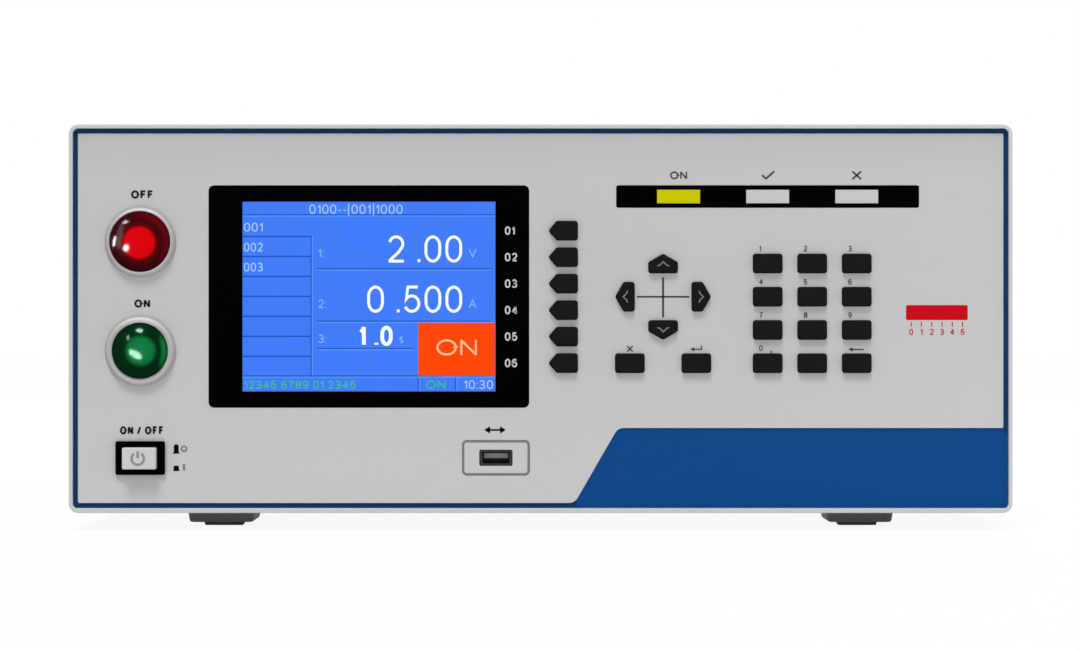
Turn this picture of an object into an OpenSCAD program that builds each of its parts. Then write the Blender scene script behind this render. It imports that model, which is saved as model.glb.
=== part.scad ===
// Benchtop electrical safety tester in a 4U instrument case, front facing -Y.
// The origin is on the floor, under the middle of the instrument.

/* [Front frame] */
// Width over the moulded front frame
front_w = 430; // [410:1:480]
// Height of the moulded front frame
front_h = 177; // [172:1:220]
// Outside corner radius of the frame
frame_r = 4.4; // [2.6:0.1:6]
// Width of the lip that shows round the panel
lip_w = 1.8; // [1.2:0.1:2.2]
// Width of the lip along the bottom, where it is a little wider
lip_low_w = 2.2; // [2.2:0.1:3.2]
// Radius that softens the lip's outer edge
lip_edge_r = 0.6; // [0.3:0.1:1]
// How far the frame's skirt reaches back over the covers
skirt_d = 20; // [18:1:36]
// Width of the flange inside the frame that the panel seats on
flange_w = 8; // [5:0.5:9]
// Thickness of that flange
flange_t = 2.5; // [1.5:0.1:4]

/* [Case] */
// Depth of the case from the lip to the end of the covers
case_d = 450; // [420:5:520]
// Thickness of the folded steel sheet
sheet_t = 1.2; // [0.8:0.1:1.6]
// Outside bend radius of the top cover
bend_r = 3; // [2:0.5:6]
// Gap between the covers and the frame's skirt
skirt_gap = 0.2; // [0.1:0.05:0.4]
// Where the covers begin, behind the lip
cover_start_d = 12; // [9:1:16]
// Height of the tray's side walls
tray_side_h = 20; // [16:1:30]
// Number of slots in each row of side vents
vent_count = 12; // [4:1:14]
// Distance between vent slots
vent_pitch = 9; // [7:0.5:10]
// Width of a vent slot
vent_w = 3.5; // [2:0.5:4]
// Height of a vent slot
vent_h = 34; // [15:1:45]
// Height of the strip of steel between the two rows of vents
vent_row_gap = 12; // [6:1:20]
// Distance from the covers' rear end to the vents
vent_rear_d = 60; // [40:5:120]

/* [Front panel] */
// Thickness of the painted aluminium panel
panel_t = 2; // [1.8:0.1:3]
// Thickness of the grey film on the panel
film_t = 0.5; // [0.3:0.1:0.8]
// How deep the film's face lies behind the lip
film_recess = 1.5; // [1:0.1:2.5]
// Width of painted panel left bare between the lip and the film
border_w = 2.3; // [1:0.1:4]
// Height of the bare band at the lower right, from the film's edge
band_h = 34.2; // [20:0.1:40]
// Where the band's slanted end meets the film's lower edge
band_x = 15.5; // [10:0.1:40]
// Angle of the band's slanted end
band_angle = 60; // [50:1:80]
// Radius at both ends of the slanted edge
band_r = 4.5; // [1:0.1:8]

/* [Display] */
// Distance from the frame's left side to the display's centre
display_inset = 136.7; // [134:0.1:138]
// Centre of the display, above the panel's centre
display_z = 10.1; // [4:0.1:12]
// Width of the black window
window_w = 146; // [140:0.5:148]
// Height of the black window
window_h = 101.2; // [98:0.1:106]
// Corner radius of the window
window_r = 2.5; // [1:0.1:4]
// Thickness of the window
window_t = 2; // [1.2:0.1:2.2]
// Width of the screen's lit area
screen_w = 115.2; // [100:0.1:120]
// Height of the screen's lit area
screen_h = 86.4; // [75:0.1:90]
// Width of the display module behind the panel
lcd_w = 144; // [130:1:146]
// Height of the display module
lcd_h = 104.6; // [100:0.1:112]
// Thickness of the display module
lcd_t = 9; // [6:0.5:12]

/* [Keys] */
// Width of a key
key_w = 13.1; // [11:0.1:15]
// Height of a key
key_h = 8.5; // [7:0.1:9.8]
// Corner radius of a key
key_r = 1.3; // [0.5:0.1:1.5]
// Length of the point on a function key and on an arrow key
key_point = 3.9; // [2.5:0.1:5]
// Radius of the blunt tip of the point
tip_r = 1.2; // [0.6:0.1:1.5]
// How far a key stands proud of the film
key_rise = 2; // [1.2:0.1:3]
// Travel of a key
key_travel = 0.8; // [0.4:0.1:1.2]
// Gap round a key in the panel
key_gap = 0.25; // [0.2:0.05:0.5]
// Distance from the display's window to the middle of the function keys
function_offset = 15.5; // [14.5:0.1:17]
// Height of the first function key above the panel's centre
function_z = 40.1; // [38:0.1:42]
// Distance between function keys
function_pitch = 12.07; // [11.8:0.01:12.6]
// Share of the free width between function and number keys that lies left of the arrow keys
arrow_share = 0.472; // [0.4:0.001:0.6]
// Middle of the arrow keys above the panel's centre
arrow_z = 10; // [8:0.1:12]
// Sideways distance from the middle to an arrow key
arrow_reach = 17.4; // [16:0.1:19]
// Distance between number key columns
column_pitch = 20.3; // [17:0.1:21]
// Distance between key rows
row_pitch = 15.15; // [13.5:0.05:16]

/* [Indicator lights] */
// Width of the black strip
strip_w = 137.9; // [120:0.1:140]
// Share of the free width right of the function keys that lies left of the strip
strip_share = 0.316; // [0.25:0.001:0.4]
// Height of the black strip
strip_h = 10.1; // [9:0.1:14]
// Height of the strip above the panel's centre
strip_z = 55.7; // [48:0.1:62]
// Width of a light
light_w = 19.5; // [12:0.1:24]
// Height of a light
light_h = 6.1; // [4:0.1:6.4]
// Distance between lights
light_pitch = 40.6; // [30:0.1:44]

/* [Push buttons] */
// Distance from the frame's left side to the push buttons and the power switch
button_inset = 32.6; // [31:0.1:34]
// Height of the red button above the panel's centre
stop_z = 35.1; // [30:0.1:45]
// Height of the green button, below the panel's centre
start_z = -14.6; // [-18:0.1:-10]
// Diameter of the pale ring round a button
ring_d = 32.4; // [31:0.1:35]
// How far the ring stands proud of the film
ring_rise = 3; // [2:0.1:4]
// Diameter of the threaded barrel behind the ring
barrel_d = 29.6; // [29.2:0.1:30]
// Depth of the barrel behind the film's face
barrel_l = 20; // [17:0.5:26]
// Diameter of the red lens
stop_lens_d = 27.2; // [24:0.1:27.4]
// Diameter of the green lens
start_lens_d = 25; // [22:0.1:27.4]
// How far a lens stands proud of the film
lens_rise = 6; // [5.4:0.1:7]
// Travel of a push button
button_travel = 3; // [1.5:0.1:4]
// Gap round a push button
button_gap = 0.3; // [0.15:0.05:0.5]

/* [Power switch] */
// Height of the power switch, below the panel's centre
power_z = -63.5; // [-66:0.1:-60]
// Width of the switch's black bezel
power_bezel_w = 22.4; // [21:0.1:26]
// Height of the switch's black bezel
power_bezel_h = 15.3; // [14:0.1:18]
// How far the bezel stands proud of the film
power_bezel_rise = 1.6; // [1:0.1:3]
// Width of the cap
power_cap_w = 15.2; // [12:0.1:16.4]
// Height of the cap
power_cap_h = 9.8; // [8:0.1:11]
// How far the cap stands proud of the film
power_cap_rise = 6; // [5:0.1:8]
// Travel of the cap
power_travel = 3; // [1.5:0.1:4]

/* [USB socket] */
// Distance from the right side of the display's window back to the socket's centre
usb_inset = 15.1; // [12:0.1:30]
// Height of the socket, below the panel's centre
usb_z = -63.4; // [-66:0.1:-60]
// Width of the opening in the panel
usb_hole_w = 15.2; // [14.8:0.1:17]
// Height of the opening in the panel
usb_hole_h = 7.4; // [7.2:0.1:9]
// Width over the metal shell
usb_shell_w = 13.2; // [13:0.1:13.6]
// Height over the metal shell
usb_shell_h = 6; // [5.8:0.1:6.4]
// Thickness of the metal shell
usb_shell_t = 0.4; // [0.3:0.05:0.5]

/* [Feet] */
// Distance from the frame's side to the middle of a foot
foot_inset = 66.8; // [62:0.1:90]
// Width of a foot
foot_w = 31.6; // [28:0.1:40]
// Length of a foot
foot_l = 35; // [24:1:40]
// How far each side of a foot leans in towards the floor
foot_draft = 0.9; // [0:0.1:1.5]
// Height from the floor to the front frame
feet_h = 8; // [7:0.1:10]
// Height of the rubber pad below its foot
pad_h = 2.2; // [1.5:0.1:3]
// Width of a rubber pad where it stands
pad_w = 17.4; // [14:0.1:22]
// Length of a pad, from front to back
pad_l = 9; // [6:0.1:22]
// Gap between the frame's skirt and the front feet
front_foot_gap = 2; // [0.5:0.5:16]
// Distance from the covers' rear end to the rear feet
rear_foot_d = 30; // [20:1:60]
// Length of a tilt leg from its pin
leg_l = 34; // [25:1:45]
// Thickness of a tilt leg
leg_t = 2.6; // [2:0.1:3]
// How far a tilt leg opens, in degrees
leg_open = 100; // [90:1:105]
// Radius of a tilt leg's pin
pin_r = 1.5; // [1.2:0.1:1.8]
// Running clearance of a pin or shaft in its hole
running_gap = 0.05; // [0.02:0.01:0.08]

/* [Rear panel] */
// Thickness of the rear panel
rear_t = 2; // [1.5:0.1:3]
// How deep the rear panel lies inside the covers
rear_recess = 1.5; // [1:0.1:3]
// Outer size of the square fan
fan_size = 80; // [70:1:92]
// Thickness of the fan
fan_t = 25; // [20:1:32]
// Distance from the case's left side, seen from the front, to the fan's axis
fan_inset = 73; // [63:1:93]
// Height of the fan's axis above the floor
fan_z = 97; // [80:1:110]
// Number of fan blades
blade_count = 7; // [5:1:9]
// Radius of the fan's hub
hub_r = 16; // [13:0.5:18]
// Number of rings in the fan guard, besides the small one in its middle
guard_rings = 4; // [3:1:5]
// Diameter of the fan guard's wire
wire_d = 1.8; // [1.4:0.1:2.2]
// Distance from the case's right side, seen from the front, to the middle of the mains inlet
inlet_inset = 53; // [43:1:63]
// Height of the mains inlet's centre above the floor
inlet_z = 52; // [45:1:80]
// How far the fuse drawer slides out
drawer_travel = 18; // [12:0.5:19]
// Distance from the middle of the mains inlet to the nearest test socket
socket_gap = 66; // [56:1:76]
// Distance between test sockets
socket_pitch = 32; // [26:1:34]
// Height of the test sockets above the floor
socket_z = 60; // [50:1:80]
// Bore of a test socket
socket_bore_d = 4; // [4:0.1:4.2]
// How far the test sockets stand out of the rear panel
socket_rise = 12; // [10:0.5:16]
// Distance from the fan's side to the middle of the first interface port
port_gap = 60; // [55:1:70]
// Distance between interface ports
port_pitch = 42; // [38:1:46]
// Height of the interface ports above the floor
port_z = 140; // [110:1:150]

/* [Inside] */
// Width of the transformer's core
core_w = 90; // [80:1:100]
// Height of the transformer's core
core_h = 75; // [66:1:90]
// Stack thickness of the transformer's core
core_t = 50; // [40:1:60]
// Number of heat sink fins
fin_count = 11; // [7:1:13]
// Height of the heat sink
sink_h = 62; // [40:1:90]
// Width of the main board
board_w = 250; // [200:5:265]
// Depth of the main board
board_l = 180; // [150:5:220]
// Height of the stand-offs under the main board
standoff_h = 8; // [6:1:12]

/* [Hidden] */
// Small clearance between pieces that seat in one another
fit = 0.1;
// Gap between flat faces of pieces that move past each other
move_gap = 0.3;

z_mid = feet_h + front_h / 2;
case_inset = lip_w + skirt_gap;
case_w = front_w - 2 * case_inset;
case_bottom = feet_h + case_inset;
case_top = feet_h + front_h - case_inset;
tray_top = case_bottom + sheet_t;
tray_w = case_w - 2 * sheet_t - 2 * fit;

// Depths behind the front of the lip
plate_d = film_recess + film_t;
plate_back = plate_d + panel_t;
window_d = film_recess - fit;
window_back = window_d + window_t;
screen_d = window_d + 0.5;
key_board_gap = 7;
key_board_d = plate_back + key_board_gap;
key_board_t = 1.6;
tray_d = plate_back + flange_t + fit;
rear_out_d = case_d - rear_recess;
rear_in_d = rear_out_d - rear_t;

// The front and rear reach set the middle of the whole depth
front_reach = max(power_cap_rise, lens_rise, key_rise) - film_recess;
rear_reach = socket_rise - rear_recess;
y_front = front_reach - (front_reach + case_d + rear_reach) / 2;

film_w = front_w - 2 * (lip_w + border_w);
film_top = front_h / 2 - lip_w - border_w;
film_bottom = lip_low_w + border_w - front_h / 2;
film_r = 0.6;
strip_r = 1;

// Columns of the front, from left to right
button_x = button_inset - front_w / 2;
display_x = display_inset - front_w / 2;
window_right = display_x + window_w / 2;
usb_x = window_right - usb_inset;
function_x = window_right + function_offset;
function_right = function_x + key_w / 2;
strip_x = function_right + strip_share * (film_w / 2 - function_right - strip_w) + strip_w / 2;
number_x = strip_x;
arrow_half_w = arrow_reach + key_h / 2;
arrow_free_w = number_x - key_w / 2 - function_right - 2 * arrow_half_w;
arrow_x = function_right + arrow_share * arrow_free_w + arrow_half_w;

// Columns of the rear, and the feet
foot_x = front_w / 2 - foot_inset;
front_foot_d = skirt_d + front_foot_gap;
fan_x = fan_inset - case_w / 2;
inlet_x = case_w / 2 - inlet_inset;
port_x = fan_x + fan_size / 2 + port_gap;

exit_reach = row_pitch;
first_row_z = arrow_z + row_pitch;
last_row_z = first_row_z - 3 * row_pitch;
arrow_w = key_w;

function digit_name(i) =
    i < 9 ? str("number_key_", i + 1) : i == 9 ? "number_key_0" : i == 10 ? "spare_key" : "backspace_key";

// Each key is a name, its place on the panel and the turn of its point; a plain key has no turn
KEYS = concat(
    [for (i = [0:5]) [str("function_key_", i + 1), function_x, function_z - i * function_pitch, 180]],
    [["arrow_key_right", arrow_x + arrow_reach, arrow_z, 0],
     ["arrow_key_up", arrow_x, arrow_z + row_pitch, 90],
     ["arrow_key_left", arrow_x - arrow_reach, arrow_z, 180],
     ["arrow_key_down", arrow_x, arrow_z - row_pitch, 270],
     ["exit_key", arrow_x - exit_reach, last_row_z, undef],
     ["enter_key", arrow_x + exit_reach, last_row_z, undef]],
    [for (i = [0:11]) [digit_name(i), number_x + (i % 3) * column_pitch,
                       first_row_z - floor(i / 3) * row_pitch, undef]]
);

// Outlines

function arc(x, z, r, a0, a1, n = 5) = [for (i = [0:n]) let (a = a0 + (a1 - a0) * i / n)
    [x + r * cos(a), z + r * sin(a)]];

function rounded(w, h, r, n = 5) = concat(
    arc(w / 2 - r, h / 2 - r, r, 0, 90, n), arc(r - w / 2, h / 2 - r, r, 90, 180, n),
    arc(r - w / 2, r - h / 2, r, 180, 270, n), arc(w / 2 - r, r - h / 2, r, 270, 360, n));

function unit(v) = v / norm(v);

function turned(v, a) = [v.x * cos(a) - v.y * sin(a), v.x * sin(a) + v.y * cos(a)];

// The corner q of an outline, between its neighbours p and s, as an arc of radius r
function corner(p, q, s, r, n) =
    let (a = unit(p - q), b = unit(s - q), half = acos(a * b) / 2,
         t = r / tan(half), c = q + unit(a + b) * r / sin(half),
         v0 = q + a * t - c, v1 = q + b * t - c, way = sign(cross(v0, v1)))
    [for (i = [0:n]) c + turned(v0, way * 2 * (90 - half) * i / n)];

function softened(points, radii, n = 4) =
    let (m = len(points))
    [for (i = [0:m - 1]) each corner(points[(i + m - 1) % m], points[i], points[(i + 1) % m], radii[i], n)];

// A key that points along +X, with its flat end on the other side; grow widens it all round
function pointed(l, w, grow) =
    let (x = l / 2 + grow, z = w / 2 + grow)
    softened([[x, 0], [x - key_point, z], [-x, z], [-x, -z], [x - key_point, -z]],
             [tip_r, tip_r, key_r, key_r, tip_r], 3);

// The outline of a key; a function key is key_w long and an arrow key is key_w across
module key_outline(k, grow) {
    if (is_undef(k[3])) polygon(rounded(key_w + 2 * grow, key_h + 2 * grow, key_r, 3));
    else if (k[1] == function_x) rotate(k[3]) polygon(pointed(key_w, key_h, grow));
    else rotate(k[3]) polygon(pointed(key_h, arrow_w, grow));
}

// Placing

// A flat shape drawn in the panel's X and Z, from depth d to d + t behind the lip
module slab(d, t) {
    translate([0, y_front + d + t, z_mid]) rotate([90, 0, 0]) linear_extrude(t) children();
}

// The same, with Z measured from the floor
module rear_slab(d, t) {
    translate([0, y_front + d + t, 0]) rotate([90, 0, 0]) linear_extrude(t) children();
}

// A round piece that faces forwards: its children are drawn with their own +Z pointing out of the front
module facing(x, d, z) {
    translate([x, y_front + d, z_mid + z]) rotate([90, 0, 0]) children();
}

// A round piece that faces backwards, with Z measured from the floor
module rear_facing(x, d, z) {
    translate([x, y_front + d, z]) rotate([-90, 0, 0]) children();
}

// A box from one depth to another, with Z measured from the floor
module block(x0, x1, d0, d1, z0, z1) {
    translate([x0, y_front + d0, z0]) cube([x1 - x0, d1 - d0, z1 - z0]);
}

module mirrored() {
    children();
    mirror([1, 0, 0]) children();
}

module at(x, z) {
    translate([x, z]) children();
}

// Front frame

// The lip and skirt as one profile: X is measured from the corner's centre, Y runs forwards
lip_profile = concat(
    [[frame_r - lip_w, -skirt_d], [frame_r, -skirt_d]],
    arc(frame_r - lip_edge_r, -lip_edge_r, lip_edge_r, 0, 90, 4),
    [[frame_r - lip_w + 0.3, 0], [frame_r - lip_w, -0.3]]);

module swept_frame(w, h, r, profile) {
    for (i = [0:3]) {
        across = i % 2 == 0 ? w : h;
        along = i % 2 == 0 ? h : w;
        rotate(90 * i) translate([across / 2 - r, along / 2 - r, 0]) {
            rotate([90, 0, 0]) linear_extrude(along - 2 * r) polygon(profile);
            rotate_extrude(angle = 90, $fn = 64) polygon(profile);
        }
    }
}

module front_bezel() {
    lip_lap = 0.4;
    color([0.74, 0.75, 0.76]) {
        facing(0, 0, 0) swept_frame(front_w, front_h, frame_r, lip_profile);
        slab(0, plate_d - fit) translate([lip_w - lip_lap - front_w / 2, lip_w - lip_lap - front_h / 2])
            square([front_w - 2 * (lip_w - lip_lap), lip_low_w - lip_w + lip_lap]);
        slab(plate_back, flange_t) difference() {
            polygon(rounded(front_w - lip_w, front_h - lip_w, frame_r - lip_w / 2));
            square([front_w - 2 * (lip_w + flange_w), front_h - 2 * (lip_w + flange_w)], center = true);
        }
    }
}

// Front panel

module key_holes(grow) {
    for (k = KEYS) at(k[1], k[2]) key_outline(k, grow);
}

module button_holes(d) {
    at(button_x, stop_z) circle(d = d, $fn = 96);
    at(button_x, start_z) circle(d = d, $fn = 96);
}

module power_hole() {
    at(button_x, power_z) square([power_shroud_w + 2 * fit, power_shroud_h + 2 * fit], center = true);
}

module usb_hole() {
    at(usb_x, usb_z) polygon(rounded(usb_hole_w, usb_hole_h, 0.8));
}

module common_holes() {
    key_holes(key_gap);
    button_holes(barrel_d + 2 * fit);
    power_hole();
    usb_hole();
}

module window_holes() {
    at(display_x, display_z) polygon(rounded(window_w + 2 * fit, window_h + 2 * fit, window_r));
    at(strip_x, strip_z) polygon(rounded(strip_w + 2 * fit, strip_h + 2 * fit, strip_r));
}

module panel_outline() {
    polygon(rounded(front_w - 2 * lip_w - 2 * fit, front_h - 2 * lip_w - 2 * fit, frame_r - lip_w));
}

window_ledge = 8;

// The posts that carry the key board, clear of every key
post_r = 3;
post_key_gap = 3;
post_strip_gap = 5;
post_row_gap = 5;
post_side = key_w / 2 + post_key_gap + post_r;
key_posts = [for (x = [function_x + post_side, number_x - post_side, number_x + 2 * column_pitch + post_side],
                  z = [strip_z - strip_h / 2 - post_strip_gap - post_r,
                       last_row_z - key_h / 2 - post_row_gap - post_r]) [x, z]];

module front_panel() {
    color([0.078, 0.278, 0.522]) {
        slab(plate_d, window_back - plate_d) difference() {
            panel_outline();
            common_holes();
            window_holes();
        }
        slab(window_back, plate_back - window_back) difference() {
            panel_outline();
            common_holes();
            at(display_x, display_z)
                square([screen_w + window_ledge, screen_h + window_ledge], center = true);
            for (i = [0:2]) at(strip_x + (i - 1) * light_pitch, strip_z)
                square([light_w + 4 * fit, light_h + 4 * fit], center = true);
        }
        for (p = key_posts) facing(p.x, key_board_d, p.y)
            cylinder(h = key_board_d - plate_back, r = post_r, $fn = 32);
    }
}

band_run = band_h / tan(band_angle);

// The film stops at the band, so the painted panel shows there
film_outline = softened(
    [[-film_w / 2, film_bottom], [band_x, film_bottom], [band_x + band_run, film_bottom + band_h],
     [film_w / 2, film_bottom + band_h], [film_w / 2, film_top], [-film_w / 2, film_top]],
    [film_r, band_r, band_r, film_r, film_r, film_r]);

module panel_overlay() {
    color([0.757, 0.757, 0.757]) slab(film_recess, film_t) difference() {
        polygon(film_outline);
        common_holes();
        window_holes();
    }
}

// Display

module display_window() {
    color([0.01, 0.01, 0.01]) slab(window_d, window_t) difference() {
        at(display_x, display_z) polygon(rounded(window_w, window_h, window_r));
        at(display_x, display_z) square([screen_w + 2 * fit, screen_h + 2 * fit], center = true);
    }
}

module lcd_screen() {
    color([0.26, 0.5, 0.98]) slab(screen_d, plate_back - screen_d)
        at(display_x, display_z) square([screen_w, screen_h], center = true);
}

module lcd_module() {
    connector_w = 40;
    connector_h = 8;
    connector_l = 3;
    corner_r = 1;
    color([0.62, 0.63, 0.65]) {
        slab(plate_back, lcd_t) at(display_x, display_z) polygon(rounded(lcd_w, lcd_h, corner_r, 2));
        slab(plate_back + lcd_t, connector_l) at(display_x, display_z - lcd_h / 4)
            square([connector_w, connector_h], center = true);
    }
}

// Indicator lights

module light_row(first, last, w, h) {
    for (i = [first:last]) at(strip_x + (i - 1) * light_pitch, strip_z) square([w, h], center = true);
}

module indicator_window() {
    color([0.01, 0.01, 0.01]) slab(window_d, window_t) difference() {
        at(strip_x, strip_z) polygon(rounded(strip_w, strip_h, strip_r));
        light_row(0, 2, light_w + fit, light_h + fit);
    }
}

light_back_d = key_board_d - 2;

module test_light() {
    color([0.77, 0.76, 0]) slab(window_d, light_back_d - window_d) light_row(0, 0, light_w, light_h);
}

module result_lights() {
    color([0.78, 0.78, 0.78]) slab(window_d, light_back_d - window_d) light_row(1, 2, light_w, light_h);
}

// Keys and key board

stem_l = 1.2;
stem_w = 3;
key_flange_t = 1;
key_flange_w = 0.8;
key_top_d = film_recess - key_rise;
key_flange_d = plate_back + move_gap;
stem_end_d = key_flange_d + key_flange_t + stem_l;
switch_top_d = stem_end_d + key_travel + move_gap;

// A key cap with a rounded top edge, a flange that keeps it in the panel, and a stem
module key(k) {
    edge = 0.6;
    color([0.106, 0.106, 0.098]) {
        hull() {
            for (s = [[0, edge], [edge * 0.35, edge * 0.25], [edge, 0]])
                slab(key_top_d + s[1], 0.05) at(k[1], k[2]) key_outline(k, -s[0]);
            slab(key_flange_d, key_flange_t / 2) at(k[1], k[2]) key_outline(k, 0);
        }
        slab(key_flange_d, key_flange_t) at(k[1], k[2]) key_outline(k, key_flange_w);
        slab(key_flange_d + key_flange_t, stem_l) at(k[1], k[2]) square(stem_w, center = true);
    }
}

board_gap = 2;
board_margin = 4;
key_board_x0 = display_x + lcd_w / 2 + board_gap;
key_board_x1 = key_posts[5].x + post_r + board_margin;
key_board_z0 = key_posts[5].y - post_r - board_margin;
key_board_z1 = strip_z + strip_h / 2 + board_margin;

// The board carries one small switch behind each key and a lamp behind each light
module key_board() {
    switch_size = 6;
    plunger_l = 0.8;
    plunger_r = 1.7;
    lamp_w = 12;
    lamp_h = 3;
    color([0.05, 0.32, 0.16]) {
        slab(key_board_d, key_board_t)
            translate([key_board_x0, key_board_z0])
                square([key_board_x1 - key_board_x0, key_board_z1 - key_board_z0]);
        for (k = KEYS) {
            slab(switch_top_d + plunger_l, key_board_d - switch_top_d - plunger_l)
                at(k[1], k[2]) square(switch_size, center = true);
            facing(k[1], switch_top_d + plunger_l, k[2]) cylinder(h = plunger_l, r = plunger_r, $fn = 24);
        }
        for (i = [0:2]) slab(light_back_d + move_gap, key_board_d - light_back_d - move_gap)
            at(strip_x + (i - 1) * light_pitch, strip_z) square([lamp_w, lamp_h], center = true);
    }
}

// Push buttons

barrel_r = barrel_d / 2;

// A threaded barrel with a ring in front, whose crest slopes out to the panel and in towards the lens
module ring(z, lens_d) {
    bore_r = lens_d / 2 + button_gap;
    rim_h = 0.6;
    slope_h = 0.5;
    crest_inset = 0.4;
    crest_r = 0.3;
    rim = [ring_d / 2, rim_h];
    crest = [barrel_r - crest_inset, ring_rise];
    mouth = [bore_r, ring_rise - slope_h];
    facing(button_x, film_recess, z) rotate_extrude($fn = 96) polygon(concat(
        [[bore_r, -barrel_l], [barrel_r, -barrel_l], [barrel_r, 0], [ring_d / 2, 0], rim],
        corner(rim, crest, mouth, crest_r, 4), [mouth]));
}

module button_bezels() {
    color([0.8, 0.8, 0.81]) {
        ring(stop_z, stop_lens_d);
        ring(start_z, start_lens_d);
    }
}

lens_skirt_d = 8;
lens_stem_r = 4;
dome_share = 0.57;
dome_h = 1.1;
groove_w = 0.9;
groove_h = 0.9;
shoulder_h = 3.4;
shoulder_drop = 0.3;
plunger_h = 1;
plunger_r = 6;
lens_stem_end = button_travel + move_gap + plunger_h - barrel_l;

// A round cap's profile as [radius, height] points, from its edge in to the radius start
function cap_profile(r, h, top, start, n) =
    let (bend = (r * r + h * h) / (2 * h), a0 = asin(start / bend), a1 = asin(r / bend))
    [for (i = [n:-1:0]) let (a = a0 + (a1 - a0) * i / n) [bend * sin(a), top - bend + bend * cos(a)]];

// A lens with a small dome in the middle, a groove round it, and a wide round shoulder
module lens(z, d) {
    half = d / 2;
    dome_r = dome_share * half;
    facing(button_x, film_recess, z) rotate_extrude($fn = 96) polygon(concat(
        [[0, lens_stem_end], [lens_stem_r, lens_stem_end],
         [lens_stem_r, -lens_skirt_d], [half, -lens_skirt_d]],
        cap_profile(half, shoulder_h, lens_rise - shoulder_drop, dome_r + groove_w, 6),
        [[dome_r + groove_w / 2, lens_rise - dome_h - groove_h]],
        cap_profile(dome_r, dome_h, lens_rise, 0, 5)));
}

module stop_button() {
    color([0.8, 0, 0.03]) lens(stop_z, stop_lens_d);
}

module start_button() {
    color([0, 0.42, 0.18]) lens(start_z, start_lens_d);
}

// Power switch

power_shroud_w = power_cap_w + 2 * button_gap + 2.4;
power_shroud_h = power_cap_h + 2 * button_gap + 2.4;
power_barrel_l = 15;
power_cap_d = 11.5;

module power_bezel() {
    color([0.02, 0.02, 0.02]) {
        slab(film_recess - power_bezel_rise, power_bezel_rise) difference() {
            at(button_x, power_z) polygon(rounded(power_bezel_w, power_bezel_h, 0.8));
            at(button_x, power_z) power_bore();
        }
        slab(film_recess, power_barrel_l) difference() {
            at(button_x, power_z) square([power_shroud_w, power_shroud_h], center = true);
            at(button_x, power_z) power_bore();
        }
    }
}

module power_bore() {
    square([power_cap_w + 2 * button_gap, power_cap_h + 2 * button_gap], center = true);
}

module power_button() {
    edge = 0.5;
    color([0.77, 0.77, 0.77]) {
        hull() {
            slab(film_recess - power_cap_rise, 0.05) at(button_x, power_z)
                polygon(rounded(power_cap_w - 2 * edge, power_cap_h - 2 * edge, 0.5, 3));
            slab(film_recess - power_cap_rise + edge, power_cap_d + power_cap_rise - edge)
                at(button_x, power_z) polygon(rounded(power_cap_w, power_cap_h, 0.6, 3));
        }
    }
}

tab_w = 6.3;
tab_t = 0.8;
tab_l = 8;

// Two upright contact tabs behind a switch, d behind the lip
module switch_tabs(d, z, reach) {
    for (s = [-1, 1]) slab(d, tab_l) at(button_x + s * reach, z) square([tab_t, tab_w], center = true);
}

module switch_bodies() {
    nut_r = barrel_r + 3.2;
    nut_t = 3;
    contact_block = 26;
    contact_l = 18;
    contact_d = film_recess + barrel_l;
    power_body_l = 20;
    power_body_d = film_recess + power_barrel_l;
    color([0.09, 0.09, 0.1]) {
        for (z = [stop_z, start_z]) {
            facing(button_x, plate_back + nut_t, z) difference() {
                cylinder(h = nut_t, r = nut_r, $fn = 48);
                translate([0, 0, -1]) cylinder(h = nut_t + 2, r = barrel_r + fit, $fn = 96);
            }
            slab(contact_d, contact_l) at(button_x, z) square(contact_block, center = true);
            facing(button_x, contact_d, z) cylinder(h = plunger_h, r = plunger_r, $fn = 48);
            switch_tabs(contact_d + contact_l, z, contact_block / 4);
        }
        slab(power_body_d, power_body_l) at(button_x, power_z)
            square([power_shroud_w, power_shroud_h], center = true);
        switch_tabs(power_body_d + power_body_l, power_z, power_shroud_w / 4);
    }
}

// USB socket

module usb_socket() {
    flare_w = usb_hole_w - 0.6;
    flare_h = usb_hole_h - 0.4;
    tube_l = 15;
    flare_d = plate_back - 1.6;
    inner_w = usb_shell_w - 2 * usb_shell_t;
    inner_h = usb_shell_h - 2 * usb_shell_t;
    tongue_w = 11.1;
    tongue_h = 1.9;
    tongue_l = 9;
    tongue_gap = 0.7;
    back_t = 1.5;
    bracket_w = 30;
    bracket_h = 14;
    color([0.7, 0.71, 0.72]) {
        slab(flare_d, usb_shell_t) difference() {
            at(usb_x, usb_z) polygon(rounded(flare_w, flare_h, 0.7));
            at(usb_x, usb_z) square([inner_w, inner_h], center = true);
        }
        slab(flare_d, tube_l) difference() {
            at(usb_x, usb_z) polygon(rounded(usb_shell_w, usb_shell_h, 0.5));
            at(usb_x, usb_z) square([inner_w, inner_h], center = true);
        }
        slab(plate_back, sheet_t) difference() {
            at(usb_x, usb_z) square([bracket_w, bracket_h], center = true);
            at(usb_x, usb_z) square([inner_w, inner_h], center = true);
        }
        slab(flare_d + tube_l, back_t) at(usb_x, usb_z) square([usb_shell_w, usb_shell_h], center = true);
        slab(flare_d + tube_l - tongue_l, tongue_l)
            at(usb_x, usb_z + inner_h / 2 - tongue_gap - tongue_h / 2)
                square([tongue_w, tongue_h], center = true);
    }
}

// Case

// A folded U of sheet: w wide outside, sides h high, open at the top
function folded(w, h, r, t) = concat(
    [[-w / 2, h]], arc(r - w / 2, r, r, 180, 270, 4), arc(w / 2 - r, r, r, 270, 360, 4), [[w / 2, h]],
    [[w / 2 - t, h]], arc(w / 2 - r, r, r - t, 360, 270, 4), arc(r - w / 2, r, r - t, 270, 180, 4),
    [[t - w / 2, h]]);

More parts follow.
